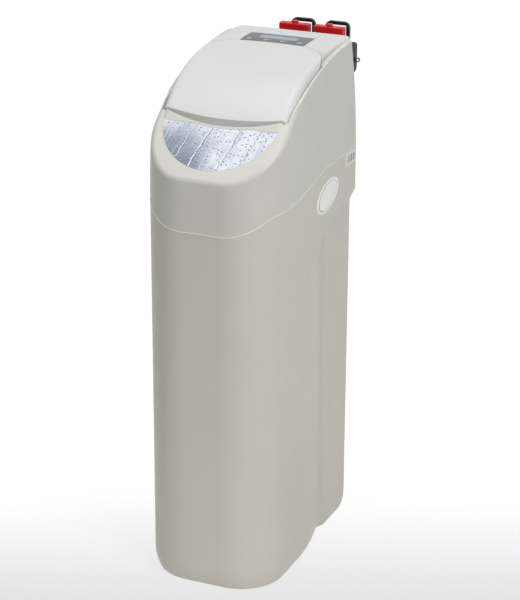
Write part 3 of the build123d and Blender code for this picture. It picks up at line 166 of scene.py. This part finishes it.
# Colour sockets of the mix node
MIX_A, MIX_B, MIX_RESULT = 6, 7, 2

# Light. Lamps: place, aim, size, watts, spread
WORLD_LIGHT = 0.11
WORLD_COLOUR = (1.0, 0.975, 0.94, 1.0)
LAMPS = {
    "key_light": ((2.95, -1.85, 3.0), (0, 0, 0.6), 1.5, 77, math.pi),
    "top_light": ((-0.2, -0.5, 3.4), (0, 0, 0.6), 2.0, 42, math.pi),
    "low_light": ((0.4, -2.6, 0.6), (-0.05, -0.1, 0.0), 0.8, 0.5, math.radians(50)),
}

# Floor: its paper, and the glow that the camera sees from far to near
FLOOR_GREY = (0.9, 0.9, 0.9, 1.0)
FLOOR_REACH = 30.0
FLOOR_DROP = 0.0002
FLOOR_GLOW_SHARE = 0.82
FLOOR_FADE_FAR, FLOOR_FADE_NEAR = -0.45, 0.5
FLOOR_GLOW_FAR, FLOOR_GLOW_NEAR = 1.2, 0.74

nodes = frame["nodes"]
badge_low, badge_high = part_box("side_badge")
badge_middle = (badge_low + badge_high) / 2


def srgb(red, green, blue):
    """Linear colour of an 8-bit screen colour."""
    def linear(value):
        part = value / 255
        return part / 12.92 if part <= 0.04045 else ((part + 0.055) / 1.055) ** 2.4
    return (linear(red), linear(green), linear(blue), 1.0)


# Finishes

class Finish:
    """One node material, with short names for the nodes it is made of."""

    def __init__(self, name, colour, roughness=0.5, **sockets):
        self.name = name
        self.material = bpy.data.materials.new(name)
        self.material.use_nodes = True
        self.tree = self.material.node_tree
        self.shader = self.tree.nodes["Principled BSDF"]
        self.shader.inputs["Base Color"].default_value = colour
        self.shader.inputs["Roughness"].default_value = roughness
        for socket, value in sockets.items():
            self.shader.inputs[socket.replace("_", " ")].default_value = value
        self.place = self.tree.nodes.new("ShaderNodeTexCoord").outputs["Object"]

    def feed(self, socket, value):
        """Links another node's output to the socket, or sets a plain value on it."""
        if isinstance(value, bpy.types.NodeSocket):
            self.tree.links.new(value, socket)
        else:
            socket.default_value = value

    def math(self, operation, a, b=0.0, c=0.0):
        """Result of a math node."""
        node = self.tree.nodes.new("ShaderNodeMath")
        node.operation = operation
        for socket, value in zip(node.inputs, (a, b, c)):
            self.feed(socket, value)
        return node.outputs[0]

    def vector(self, operation, a, b=(0, 0, 0)):
        """Result of a vector math node."""
        node = self.tree.nodes.new("ShaderNodeVectorMath")
        node.operation = operation
        self.feed(node.inputs[0], a)
        self.feed(node.inputs[1], b)
        return node.outputs["Value" if operation in ("DOT_PRODUCT", "LENGTH") else "Vector"]

    def join(self, x, y, z=0.0):
        """Vector made of three values."""
        node = self.tree.nodes.new("ShaderNodeCombineXYZ")
        for socket, value in zip(node.inputs, (x, y, z)):
            self.feed(socket, value)
        return node.outputs[0]

    def ease(self, value, low, high, start=0.0, end=1.0):
        """Goes smoothly from start to end while the value goes from low to high."""
        node = self.tree.nodes.new("ShaderNodeMapRange")
        node.interpolation_type = "SMOOTHSTEP"
        for socket, item in zip(node.inputs, (value, low, high, start, end)):
            self.feed(socket, item)
        return node.outputs[0]

    def mix(self, factor, a, b):
        """Colour a, turning to b as the factor goes from 0 to 1."""
        node = self.tree.nodes.new("ShaderNodeMix")
        node.data_type = "RGBA"
        self.feed(node.inputs["Factor"], factor)
        self.feed(node.inputs[MIX_A], a)
        self.feed(node.inputs[MIX_B], b)
        return node.outputs[MIX_RESULT]

    def noise(self, size, detail=2.0, place=None, dimensions="3D"):
        """Noise with features of about this size."""
        node = self.tree.nodes.new("ShaderNodeTexNoise")
        node.noise_dimensions = dimensions
        self.feed(node.inputs["Vector"], place or self.place)
        node.inputs["Scale"].default_value = 1 / size
        node.inputs["Detail"].default_value = detail
        return node.outputs["Fac"]

    def cells(self, size, place=None, randomness=1.0, dimensions="2D"):
        """Node of cells of about this size."""
        node = self.tree.nodes.new("ShaderNodeTexVoronoi")
        node.voronoi_dimensions = dimensions
        self.feed(node.inputs["Vector"], place or self.place)
        node.inputs["Scale"].default_value = 1 / size
        node.inputs["Randomness"].default_value = randomness
        return node

    def bump(self, height, distance, below=None):
        """Normal that follows a height, on top of the bump below where one is given."""
        node = self.tree.nodes.new("ShaderNodeBump")
        node.inputs["Distance"].default_value = distance
        self.feed(node.inputs["Height"], height)
        if below:
            self.feed(node.inputs["Normal"], below)
        return node.outputs[0]

    def set(self, socket, value):
        """Feeds one of the shader's own sockets."""
        self.feed(self.shader.inputs[socket], value)


def tint(colour, factor):
    """The colour made lighter or darker."""
    return tuple(min(1.0, c * factor) for c in colour[:3]) + (1.0,)


def moulded(name, colour, roughness, grain_size=0.0007, grain_depth=0.00003, mottle=0.03,
            gloss_shift=0.08, wave_size=0.09, wave_depth=0.0002, **sockets):
    """Moulded plastic: fine spark-eroded grain, slight sink waves and faint shifts of tone."""
    finish = Finish(name, colour, roughness, **sockets)
    tone = finish.ease(finish.noise(wave_size, 3.0), 0.3, 0.7)
    finish.set("Base Color", finish.mix(tone, tint(colour, 1 - mottle), tint(colour, 1 + mottle)))
    gloss = finish.ease(finish.noise(wave_size / 6, 4.0), 0.25, 0.75,
                        roughness * (1 - gloss_shift), roughness * (1 + gloss_shift))
    finish.set("Roughness", gloss)
    wave = finish.bump(finish.noise(wave_size, 1.0), wave_depth)
    finish.set("Normal", finish.bump(finish.noise(grain_size, 3.0), grain_depth, below=wave))
    return finish


def hood_plastic(name, colour, crown_colour):
    """The hood's grey, with the crown between the two coves in the lid's white."""
    finish = moulded(name, colour, 0.4, mottle=0.01)
    across = finish.vector("DOT_PRODUCT", finish.place, (1.0, 0.0, 0.0))
    between = finish.ease(finish.math("ABSOLUTE", across), CROWN_HALF_WIDTH + CROWN_BLUR,
                          CROWN_HALF_WIDTH - CROWN_BLUR)
    surface = finish.tree.nodes.new("ShaderNodeNewGeometry")
    rise = finish.vector("DOT_PRODUCT", surface.outputs["Normal"], (0.0, 0.0, 1.0))
    depth = finish.vector("DOT_PRODUCT", finish.place, (0.0, 1.0, 0.0))
    on_top = finish.math("MULTIPLY", finish.ease(rise, *CROWN_RISE),
                         finish.math("GREATER_THAN", depth, CROWN_FRONT_Y))
    grey = finish.shader.inputs["Base Color"].links[0].from_socket
    share = finish.math("MULTIPLY", between, on_top)
    finish.set("Base Color", finish.mix(share, grey, crown_colour))
    return finish


def badge_print(name):
    """White gloss with a thin green ring printed near the rim."""
    white = srgb(250, 251, 252)
    finish = Finish(name, white, 0.2)
    local = finish.vector("SUBTRACT", finish.place, badge_middle)
    turn = (math.cos(BADGE_TILT), math.sin(BADGE_TILT))
    run = finish.vector("DOT_PRODUCT", local,
                        (0.0, turn[0] / BADGE_HALF_LENGTH, turn[1] / BADGE_HALF_LENGTH))
    rise = finish.vector("DOT_PRODUCT", local,
                         (0.0, -turn[1] / BADGE_HALF_HEIGHT, turn[0] / BADGE_HALF_HEIGHT))
    reach = finish.vector("LENGTH", finish.join(run, rise))
    off = finish.math("ABSOLUTE", finish.math("SUBTRACT", reach, BADGE_RING_REACH))
    thin = finish.math("MULTIPLY_ADD", run, -BADGE_RING_SWELL, BADGE_RING_HALF_LINE)
    ring = finish.ease(off, finish.math("ADD", thin, BADGE_RING_BLUR), thin)
    finish.set("Base Color", finish.mix(ring, white, srgb(150, 196, 112)))
    finish.set("Normal", finish.bump(finish.noise(0.02, 2.0), 0.00004))
    return finish


def water_film(name):
    """Glossy printed film of water beads and runs on misted glass, in a layout of its own."""
    finish = Finish(name, srgb(215, 222, 235), 0.2, Coat_Weight=0.15, Coat_Roughness=0.05,
                    Specular_IOR_Level=0.3)
    up = (0.0, math.cos(FASCIA_SLOPE), math.sin(FASCIA_SLOPE))
    corner = (0.0, *FASCIA_CORNER)
    from_corner = finish.vector("SUBTRACT", finish.place, corner)
    along = finish.vector("DOT_PRODUCT", from_corner, up)
    across = finish.vector("DOT_PRODUCT", finish.place, (1.0, 0.0, 0.0))
    flat = finish.join(across, along)

    # Mist: blue-grey low on the left, nearly white on the right and in the top corner
    drift = finish.noise(0.05, 3.0, flat)
    drifted = finish.math("MULTIPLY_ADD", drift, 0.06, across)
    left = finish.ease(drifted, 0.055, -0.045)
    low = finish.ease(finish.math("MULTIPLY_ADD", drift, 0.03, along), -0.005, -0.06)
    shade = finish.math("MULTIPLY", left, low)
    base = finish.mix(finish.ease(drift, 0.35, 0.65), srgb(211, 217, 231), srgb(232, 236, 244))
    base = finish.mix(shade, base, srgb(124, 138, 164))
    deep = finish.math("MULTIPLY", shade, finish.ease(along, -0.07, -0.125))
    base = finish.mix(deep, base, srgb(78, 94, 118))

    # Streaks: faint bands that lean with the runs
    lean = finish.math("MULTIPLY_ADD", along, -0.22, across)
    streak = finish.noise(0.012, 2.0, finish.join(lean, finish.math("MULTIPLY", along, 0.12)))
    base = finish.mix(finish.ease(streak, 0.52, 0.72, 0.0, 0.5), base, srgb(242, 244, 249))
    base = finish.mix(finish.ease(streak, 0.48, 0.3, 0.0, 0.3), base, srgb(150, 162, 192))

    # Runs: wavy trails of water, each dark on one flank and bright on the other
    wander = finish.noise(0.024, 2.0, finish.join(along, finish.math("MULTIPLY", across, 0.3)))
    weave = finish.math("MULTIPLY_ADD", wander, 0.016, lean)
    for middle, width, force in RUNS:
        off = finish.math("SUBTRACT", weave, middle)
        core = width * RUN_CORE
        dark = finish.ease(finish.math("ABSOLUTE", off), width, core, 0.0, force)
        bright_off = finish.math("ABSOLUTE", finish.math("ADD", off, width * RUN_GLINT_SHIFT))
        bright = finish.ease(bright_off, width, core, 0.0, force)
        base = finish.mix(bright, base, srgb(252, 253, 255))
        base = finish.mix(dark, base, srgb(94, 105, 140))

    # Beads: two sizes of drops, lit from above
    for pitch, radius, share in BEADS:
        cell = finish.cells(pitch, flat, 0.8)
        chance = finish.vector("DOT_PRODUCT", cell.outputs["Color"], (1.0, 0.0, 0.0))
        local = finish.vector("SUBTRACT", flat, cell.outputs["Position"])
        reach = finish.vector("LENGTH", local)
        rim = finish.math("MULTIPLY", finish.ease(chance, 0.0, 1.0, 0.6, 1.25), radius)
        inside = finish.ease(finish.math("DIVIDE", reach, rim), 1.0, 0.75)
        inside = finish.math("MULTIPLY", inside, finish.math("GREATER_THAN", chance, 1 - share))
        height = finish.vector("DOT_PRODUCT", local, BEAD_LIGHT)
        lit = finish.ease(finish.math("DIVIDE", height, rim), -0.1, 0.8)
        drop = finish.mix(lit, srgb(72, 83, 114), srgb(242, 245, 251))
        base = finish.mix(inside, base, drop)
    finish.set("Base Color", base)
    finish.set("Normal", finish.bump(finish.noise(0.02, 2.0), 0.0001))
    return finish


def barred_label(name):
    """White paper label with plain grey bars that stand for nothing."""
    paper = srgb(236, 236, 234)
    finish = Finish(name, paper, 0.4)
    low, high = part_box("rear_label")
    run = finish.vector("DOT_PRODUCT", finish.place, (0.0, 1.0, 0.0))
    rise = finish.vector("DOT_PRODUCT", finish.place, (0.0, 0.0, 1.0))
    bars = finish.noise(LABEL_BAR_SIZE, 0.0, finish.join(run, 0.0), "2D")
    inked = finish.math("GREATER_THAN", bars, LABEL_INK_FROM)
    for value, start, end in ((run, low.y, high.y), (rise, low.z, high.z)):
        past_start = finish.math("GREATER_THAN", value, start + LABEL_EDGE)
        inked = finish.math("MULTIPLY", inked, past_start)
        before_end = finish.math("LESS_THAN", value, end - LABEL_EDGE)
        inked = finish.math("MULTIPLY", inked, before_end)
    finish.set("Base Color", finish.mix(inked, paper, srgb(88, 88, 92)))
    return finish


def resin_beads(name):
    """Packed amber ion exchange beads."""
    finish = Finish(name, srgb(196, 140, 60), 0.35)
    cell = finish.cells(0.0014, dimensions="3D")
    # Light in each bead's middle and dark towards its edge: painted shade between the packed
    # beads
    tone = finish.ease(cell.outputs["Distance"], 0.1, 0.7)
    finish.set("Base Color", finish.mix(tone, srgb(214, 160, 78), srgb(126, 78, 26)))
    finish.set("Normal", finish.bump(cell.outputs["Distance"], -0.0004))
    return finish


def brushed_metal(name, colour):
    """Zinc-plated steel with fine drawn lines."""
    finish = Finish(name, colour, 0.32, Metallic=1.0)
    stretched = finish.vector("MULTIPLY", finish.place, (1.0, 14.0, 14.0))
    lines = finish.noise(0.006, 3.0, stretched)
    finish.set("Roughness", finish.ease(lines, 0.3, 0.7, 0.25, 0.42))
    finish.set("Normal", finish.bump(lines, 0.00002))
    return finish


finishes = {finish.name: finish for finish in (
    moulded("cabinet_taupe", srgb(213, 209, 199), 0.42, mottle=0.012, wave_size=0.14,
            wave_depth=0.0006),
    hood_plastic("hood_grey", srgb(212, 212, 204), srgb(219, 219, 219)),
    moulded("lid_white", srgb(219, 219, 219), 0.38, mottle=0.006),
    water_film("insert_film"),
    moulded("panel_slate", srgb(93, 97, 105), 0.34, mottle=0.03, grain_depth=0.00001,
            Specular_IOR_Level=0.3),
    moulded("display_glass", srgb(141, 149, 145), 0.14, mottle=0.04, wave_size=0.03,
            grain_depth=0.000003),
    moulded("key_pale", srgb(118, 123, 131), 0.35, mottle=0.02),
    moulded("strip_pale", srgb(205, 219, 241), 0.24, mottle=0.06, wave_size=0.02),
    badge_print("badge_white"),
    barred_label("label_white"),
    moulded("red_plastic", srgb(208, 34, 40), 0.38, mottle=0.05, wave_size=0.03,
            grain_depth=0.00004, Specular_IOR_Level=0.2),
    moulded("black_plastic", srgb(24, 26, 30), 0.42, mottle=0.12, wave_size=0.03,
            grain_depth=0.00005, Specular_IOR_Level=0.3),
    moulded("dark_grey_plastic", srgb(31, 35, 41), 0.48, mottle=0.08, wave_size=0.04,
            grain_depth=0.00005, Specular_IOR_Level=0.22),
    moulded("tank_blue", srgb(58, 98, 142), 0.4, mottle=0.06),
    moulded("white_plastic", srgb(226, 226, 222), 0.42, mottle=0.02),
    resin_beads("resin_amber"),
    moulded("rubber_black", srgb(28, 28, 28), 0.7, mottle=0.1, grain_depth=0.00006),
    moulded("gear_white", srgb(232, 230, 222), 0.36, mottle=0.02),
    brushed_metal("motor_steel", srgb(176, 178, 180)),
    moulded("board_green", srgb(36, 92, 62), 0.34, mottle=0.1, wave_size=0.01),
)}

for part in frame["record"]["subparts"]:
    mesh = nodes[part["node"]].data
    mesh.materials.clear()
    mesh.materials.append(finishes[part["material_slot"]].material)


def crisp(name):
    """Shades a CAD node smooth up to its creases, in place of the loaded normals."""
    node = nodes[name]
    bpy.context.view_layer.objects.active = node
    with bpy.context.temp_override(object=node, active_object=node):
        bpy.ops.mesh.customdata_custom_splitnormals_clear()
    node.data.shade_smooth()
    node.data.set_sharp_from_angle(angle=CREASE)


for name in ("salt_lid", "hood"):
    crisp(name)


# Pieces

def new_piece(name, build, finish, carrier, smooth=True):
    """Piece made by build(bmesh), with its finish, riding with its carrier node."""
    form = bmesh.new()
    build(form)
    bmesh.ops.recalc_face_normals(form, faces=form.faces)
    mesh = bpy.data.meshes.new(name)
    form.to_mesh(mesh)
    form.free()
    if smooth:
        mesh.shade_smooth()
        mesh.set_sharp_from_angle(angle=CREASE)
    mesh.materials.append(finish.material)
    piece = bpy.data.objects.new(name, mesh)
    bpy.context.scene.collection.objects.link(piece)
    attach(piece, body_of(nodes[carrier])[0])
    return piece


def bridge(form, lower, upper):
    """Quads between two closed rings of as many vertices."""
    for k in range(len(lower)):
        after = (k + 1) % len(lower)
        form.faces.new((lower[k], lower[after], upper[after], upper[k]))


def rings(form, outline, levels, cap=True):
    """Skin through copies of an outline, drawn in and lifted as the levels say."""
    skins = [[form.verts.new((x, y, height)) for x, y in outline(inset)]
             for inset, height in levels]
    for lower, upper in zip(skins, skins[1:]):
        bridge(form, lower, upper)
    form.faces.new(skins[0][::-1])
    if cap:
        form.faces.new(skins[-1])
    return skins[-1]


def oval(half_length, half_height, count=96):
    """Outline function of an ellipse that is drawn in by an inset."""
    def outline(inset):
        turns = [2 * math.pi * k / count for k in range(count)]
        return [((half_length - inset) * math.cos(t), (half_height - inset) * math.sin(t))
                for t in turns]
    return outline


def move(form, matrix):
    """Moves a whole form by a matrix."""
    bmesh.ops.transform(form, matrix=matrix, verts=form.verts)


def badge_form(form):
    """Low oval badge: rolled plain rim, groove, and a domed face."""
    rings(form, oval(BADGE_HALF_LENGTH, BADGE_HALF_HEIGHT), BADGE_PROFILE)
    tilt = Matrix.Rotation(BADGE_TILT, 4, "Z")
    side = Matrix(((0, 0, 1, badge_low.x), (1, 0, 0, badge_middle.y),
                   (0, 1, 0, badge_middle.z), (0, 0, 0, 1)))
    move(form, side @ tilt)


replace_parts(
    new_piece("badge", badge_form, finishes["badge_white"], "side_badge"),
    "side_badge",
)


def cross_outline(arm, width):
    """Twelve corners of a plain cross, going round once."""
    half = width / 2
    quarter = [(arm, -half), (arm, half), (half, half)]
    corners = []
    for _ in range(4):
        corners += quarter
        quarter = [(-y, x) for x, y in quarter]
    return corners


def screw_form(form):
    """Two pan heads with a cross recess each, standing on the rear wall."""
    low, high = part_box("hood_screws")
    wall_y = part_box("cabinet")[1].y
    middle_z = (low.z + high.z) / 2
    for x, angle in zip((low.x + SCREW_RADIUS, high.x - SCREW_RADIUS), SCREW_TURNS):
        head = bmesh.new()
        outline = oval(SCREW_RADIUS, SCREW_RADIUS, SCREW_SIDES)
        top = rings(head, outline, SCREW_PROFILE, cap=False)
        corners = cross_outline(SCREW_CROSS_ARM, SCREW_CROSS_WIDTH)
        mouth = [head.verts.new((a, b, SCREW_HEIGHT)) for a, b in corners]
        bottom = [head.verts.new((a * SCREW_CROSS_TAPER, b * SCREW_CROSS_TAPER,
                                  SCREW_HEIGHT - SCREW_CROSS_DEPTH)) for a, b in corners]

        # Flat top between the rim and the mouth of the cross
        loops = []
        for ring in (top, mouth):
            for k, vert in enumerate(ring):
                pair = (vert, ring[(k + 1) % len(ring)])
                loops.append(head.edges.get(pair) or head.edges.new(pair))
        bmesh.ops.triangle_fill(head, edges=loops, use_beauty=True)
        bridge(head, mouth, bottom)
        head.faces.new(bottom)
        turn = Matrix.Rotation(angle, 4, "Z")
        wall = Matrix(((-1, 0, 0, x), (0, 0, 1, wall_y), (0, 1, 0, middle_z), (0, 0, 0, 1)))
        move(head, wall @ turn)

        # Add this head to the form
        mesh = bpy.data.meshes.new("head")
        head.to_mesh(mesh)
        head.free()
        form.from_mesh(mesh)
        bpy.data.meshes.remove(mesh)


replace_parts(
    new_piece("hood_screw_heads", screw_form, finishes["motor_steel"],
              "hood_screws"),
    "hood_screws",
)


def top_plane(name):
    """Centre and upward normal of a node's top faces."""
    mesh = nodes[name].data
    faces = [face for face in mesh.polygons if face.normal.z > TOP_FACING]
    area = sum(face.area for face in faces)
    centre = sum((face.center * face.area for face in faces), Vector()) / area
    normal = sum((face.normal * face.area for face in faces), Vector()).normalized()
    return centre, normal


def key_mark(sign):
    """Printed mark on a key: a ring with a plain sign in it."""
    def build(form):
        outer = oval(MARK_RADIUS, MARK_RADIUS, MARK_SIDES)
        section = ((0.0, 0.0), (0.0, MARK_THICKNESS), (MARK_LINE, MARK_THICKNESS),
                   (MARK_LINE, 0.0))
        skins = [[form.verts.new((x, y, height)) for x, y in outer(inset)]
                 for inset, height in section]
        for k, skin in enumerate(skins):
            bridge(form, skins[k - 1], skin)
        rings(form, lambda inset: sign, [(0.0, 0.0), (0.0, MARK_THICKNESS)])
    return build


def bar(width, height):
    """Four corners of a bar about its middle."""
    x, y = width / 2, height / 2
    return [(-x, -y), (x, -y), (x, y), (-x, y)]


print_pale = moulded("print_pale", srgb(240, 236, 220), 0.5, mottle=0.04, wave_size=0.01)
signs = {
    "key_1": [(-SIGN_REACH, -SIGN_FOOT), (SIGN_REACH, -SIGN_FOOT), (0.0, SIGN_REACH)],
    "key_2": [(-SIGN_REACH, SIGN_FOOT), (0.0, -SIGN_REACH), (SIGN_REACH, SIGN_FOOT)],
    "key_3": bar(2 * SIGN_REACH, SIGN_LINE),
    "key_4": bar(SIGN_SQUARE, SIGN_SQUARE),
}
for name, sign in signs.items():
    centre, normal = top_plane(name)
    mark = new_piece(f"{name}_mark", key_mark(sign), print_pale, name,
                     smooth=False)
    turn = normal.to_track_quat("Z", "Y").to_matrix().to_4x4()
    across = turn.inverted() @ Vector((1, 0, 0))
    spin = Matrix.Rotation(math.atan2(across.y, across.x), 4, "Z")
    mark.data.transform(Matrix.Translation(centre) @ turn @ spin)


def lever_dot(lever, outward):
    """Small grey disc at the bottom of the round mark near a lever's inner end."""
    def build(form):
        outline = oval(LEVER_MARK_RADIUS, LEVER_MARK_RADIUS, LEVER_MARK_SIDES)
        rings(form, outline, LEVER_MARK_PROFILE)
        low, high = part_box(lever)
        inner_end = min(low.x, high.x, key=abs)
        move(form, Matrix.Translation((inner_end + outward * LEVER_MARK_INSET,
                                       (low.y + high.y) / 2, high.z - LEVER_MARK_DEPTH)))
    return build


dot_grey = moulded("dot_grey", srgb(104, 98, 104), 0.5, mottle=0.06, wave_size=0.01)
for side, outward in (("left", -1), ("right", 1)):
    lever = f"bypass_lever_{side}"
    new_piece(f"lever_dot_{side}", lever_dot(lever, outward), dot_grey,
              lever)


def outer_foot(node):
    """Closed run of points, with outward normals, along a shell's lowest outer edge."""
    mesh = node.data

    def at(index):
        return tuple(round(c, WELD_DIGITS) for c in mesh.vertices[index].co)

    # Faces on both sides of each edge
    sides = {}
    for face in mesh.polygons:
        for start, end in face.edge_keys:
            sides.setdefault(frozenset((at(start), at(end))), []).append(face)

    # Edges between the outer wall and what turns under it
    steps = {}
    for ends, faces in sides.items():
        if len(faces) != 2 or len(ends) != 2:
            continue
        wall, under = sorted(faces, key=lambda face: -face.normal.z)
        upright = abs(wall.normal.z) < FOOT_WALL_TILT
        folded = under.normal.z < wall.normal.z - FOOT_FOLD
        outer = wall.normal.xy.dot(wall.center.xy) > FOOT_OUTWARD
        if upright and folded and outer:
            start, end = ends
            steps.setdefault(start, []).append((end, wall.normal))
            steps.setdefault(end, []).append((start, wall.normal))

    # The longest run of such edges
    longest = []
    left = set(steps)
    while left:
        here = min(left)
        left.discard(here)
        run = [(Vector(here), steps[here][0][1])]
        onward = [item for item in steps[here] if item[0] in left]
        while onward:
            here, normal = onward[0]
            left.discard(here)
            run.append((Vector(here), normal))
            onward = [item for item in steps[here] if item[0] in left]
        if len(run) > len(longest):
            longest = run
    return longest


def lip_form(form):
    """Fine rolled bead along the hood's lower edge."""
    run = outer_foot(nodes["hood"])
    last = first = None
    for k, (point, normal) in enumerate(run):
        along = (run[(k + 1) % len(run)][0] - run[k - 1][0]).normalized()
        out = Vector((normal.x, normal.y, 0)).normalized()
        rise = along.cross(out).normalized()
        rise *= 1 if rise.z > 0 else -1
        middle = point - out * LIP_SINK + rise * LIP_RADIUS
        turns = [2 * math.pi * j / LIP_SIDES for j in range(LIP_SIDES)]
        ring = [form.verts.new(middle + out * (LIP_RADIUS * math.cos(t))
                               + rise * (LIP_RADIUS * math.sin(t))) for t in turns]
        if last:
            bridge(form, last, ring)
        first = first or ring
        last = ring
    bridge(form, last, first)


# The bead is a much lighter cream than the hood's grey: a painted highlight along the hood's
# lower edge
lip_highlight_plastic = moulded("lip_highlight_plastic", srgb(246, 244, 236), 0.36, mottle=0.01)
new_piece("hood_lip", lip_form, lip_highlight_plastic, "hood")


# Room: pale floor that fades to white behind, with plain soft light

def build_floor():
    """Floor that keeps the object's shadow and greys a little towards the camera."""
    mesh = bpy.data.meshes.new("floor")
    corners = [(x * FLOOR_REACH, y * FLOOR_REACH, 0)
               for x, y in ((-1, -1), (1, -1), (1, 1), (-1, 1))]
    mesh.from_pydata(corners, [], [(0, 1, 2, 3)])
    floor = bpy.data.objects.new("floor", mesh)
    bpy.context.scene.collection.objects.link(floor)
    floor.location.z = -FLOOR_DROP
    finish = Finish("floor_paper", FLOOR_GREY, 0.9)
    towards = (math.sin(CAMERA_TURN), -math.cos(CAMERA_TURN), 0.0)
    near = finish.vector("DOT_PRODUCT", finish.place, towards)
    fade = finish.ease(near, FLOOR_FADE_FAR, FLOOR_FADE_NEAR, FLOOR_GLOW_FAR, FLOOR_GLOW_NEAR)
    glow = finish.tree.nodes.new("ShaderNodeEmission")
    finish.feed(glow.inputs["Color"], finish.join(fade, fade, fade))
    rays = finish.tree.nodes.new("ShaderNodeLightPath")
    seen = finish.math("MAXIMUM", rays.outputs["Is Camera Ray"], rays.outputs["Is Glossy Ray"])
    seen = finish.math("MAXIMUM", seen, rays.outputs["Is Transmission Ray"])
    share = finish.math("MULTIPLY", seen, FLOOR_GLOW_SHARE)
    blend = finish.tree.nodes.new("ShaderNodeMixShader")
    finish.feed(blend.inputs[0], share)
    finish.feed(blend.inputs[1], finish.shader.outputs[0])
    finish.feed(blend.inputs[2], glow.outputs[0])
    output = finish.tree.nodes["Material Output"]
    finish.feed(output.inputs["Surface"], blend.outputs[0])
    mesh.materials.append(finish.material)


def build_world():
    """Even warm light on the object, plain white where the camera looks past the floor."""
    world = bpy.data.worlds.new("studio")
    world.use_nodes = True
    tree = world.node_tree
    light = tree.nodes["Background"]
    light.inputs["Color"].default_value = WORLD_COLOUR
    light.inputs["Strength"].default_value = WORLD_LIGHT
    backdrop = tree.nodes.new("ShaderNodeBackground")
    backdrop.inputs["Color"].default_value = (1, 1, 1, 1)
    rays = tree.nodes.new("ShaderNodeLightPath")
    seen = rays.outputs["Is Camera Ray"]
    for name in ("Is Glossy Ray", "Is Transmission Ray"):
        widest = tree.nodes.new("ShaderNodeMath")
        widest.operation = "MAXIMUM"
        tree.links.new(seen, widest.inputs[0])
        tree.links.new(rays.outputs[name], widest.inputs[1])
        seen = widest.outputs[0]
    blend = tree.nodes.new("ShaderNodeMixShader")
    tree.links.new(seen, blend.inputs[0])
    tree.links.new(light.outputs[0], blend.inputs[1])
    tree.links.new(backdrop.outputs[0], blend.inputs[2])
    tree.links.new(blend.outputs[0], tree.nodes["World Output"].inputs["Surface"])
    bpy.context.scene.world = world


def soft_box(name, place, aim, size, watts, spread):
    """Square area lamp at place that faces aim."""
    data = bpy.data.lights.new(name, "AREA")
    data.size = size
    data.energy = watts
    data.spread = spread
    lamp = bpy.data.objects.new(name, data)
    bpy.context.scene.collection.objects.link(lamp)
    lamp.location = place
    lamp.rotation_euler = (Vector(aim) - Vector(place)).to_track_quat("-Z", "Y").to_euler()


def build_camera():
    """Camera that sees the object as the photograph does."""
    back = Vector((
        math.sin(CAMERA_TURN) * math.cos(CAMERA_TILT),
        -math.cos(CAMERA_TURN) * math.cos(CAMERA_TILT),
        math.sin(CAMERA_TILT),
    ))
    right = Vector((math.cos(CAMERA_TURN), math.sin(CAMERA_TURN), 0))
    up = back.cross(right)
    place = Vector((0, 0, CAMERA_AIM_HEIGHT)) + back * CAMERA_DISTANCE
    place += right * CAMERA_SIDESTEP + up * CAMERA_LIFT
    data = bpy.data.cameras.new("camera")
    data.sensor_width = SENSOR_MM
    data.lens = FOCAL_PIXELS / IMAGE_HEIGHT_PIXELS * SENSOR_MM
    camera = bpy.data.objects.new("camera", data)
    bpy.context.scene.collection.objects.link(camera)
    rolled_right = right * math.cos(CAMERA_ROLL) + up * math.sin(CAMERA_ROLL)
    rolled_up = up * math.cos(CAMERA_ROLL) - right * math.sin(CAMERA_ROLL)
    turn = Matrix((rolled_right, rolled_up, back)).transposed().to_4x4()
    camera.matrix_world = Matrix.Translation(place) @ turn
    bpy.context.scene.camera = camera


build_camera()
build_floor()
build_world()
for name, lamp in LAMPS.items():
    soft_box(name, *lamp)
bpy.context.scene.view_settings.view_transform = "Standard"
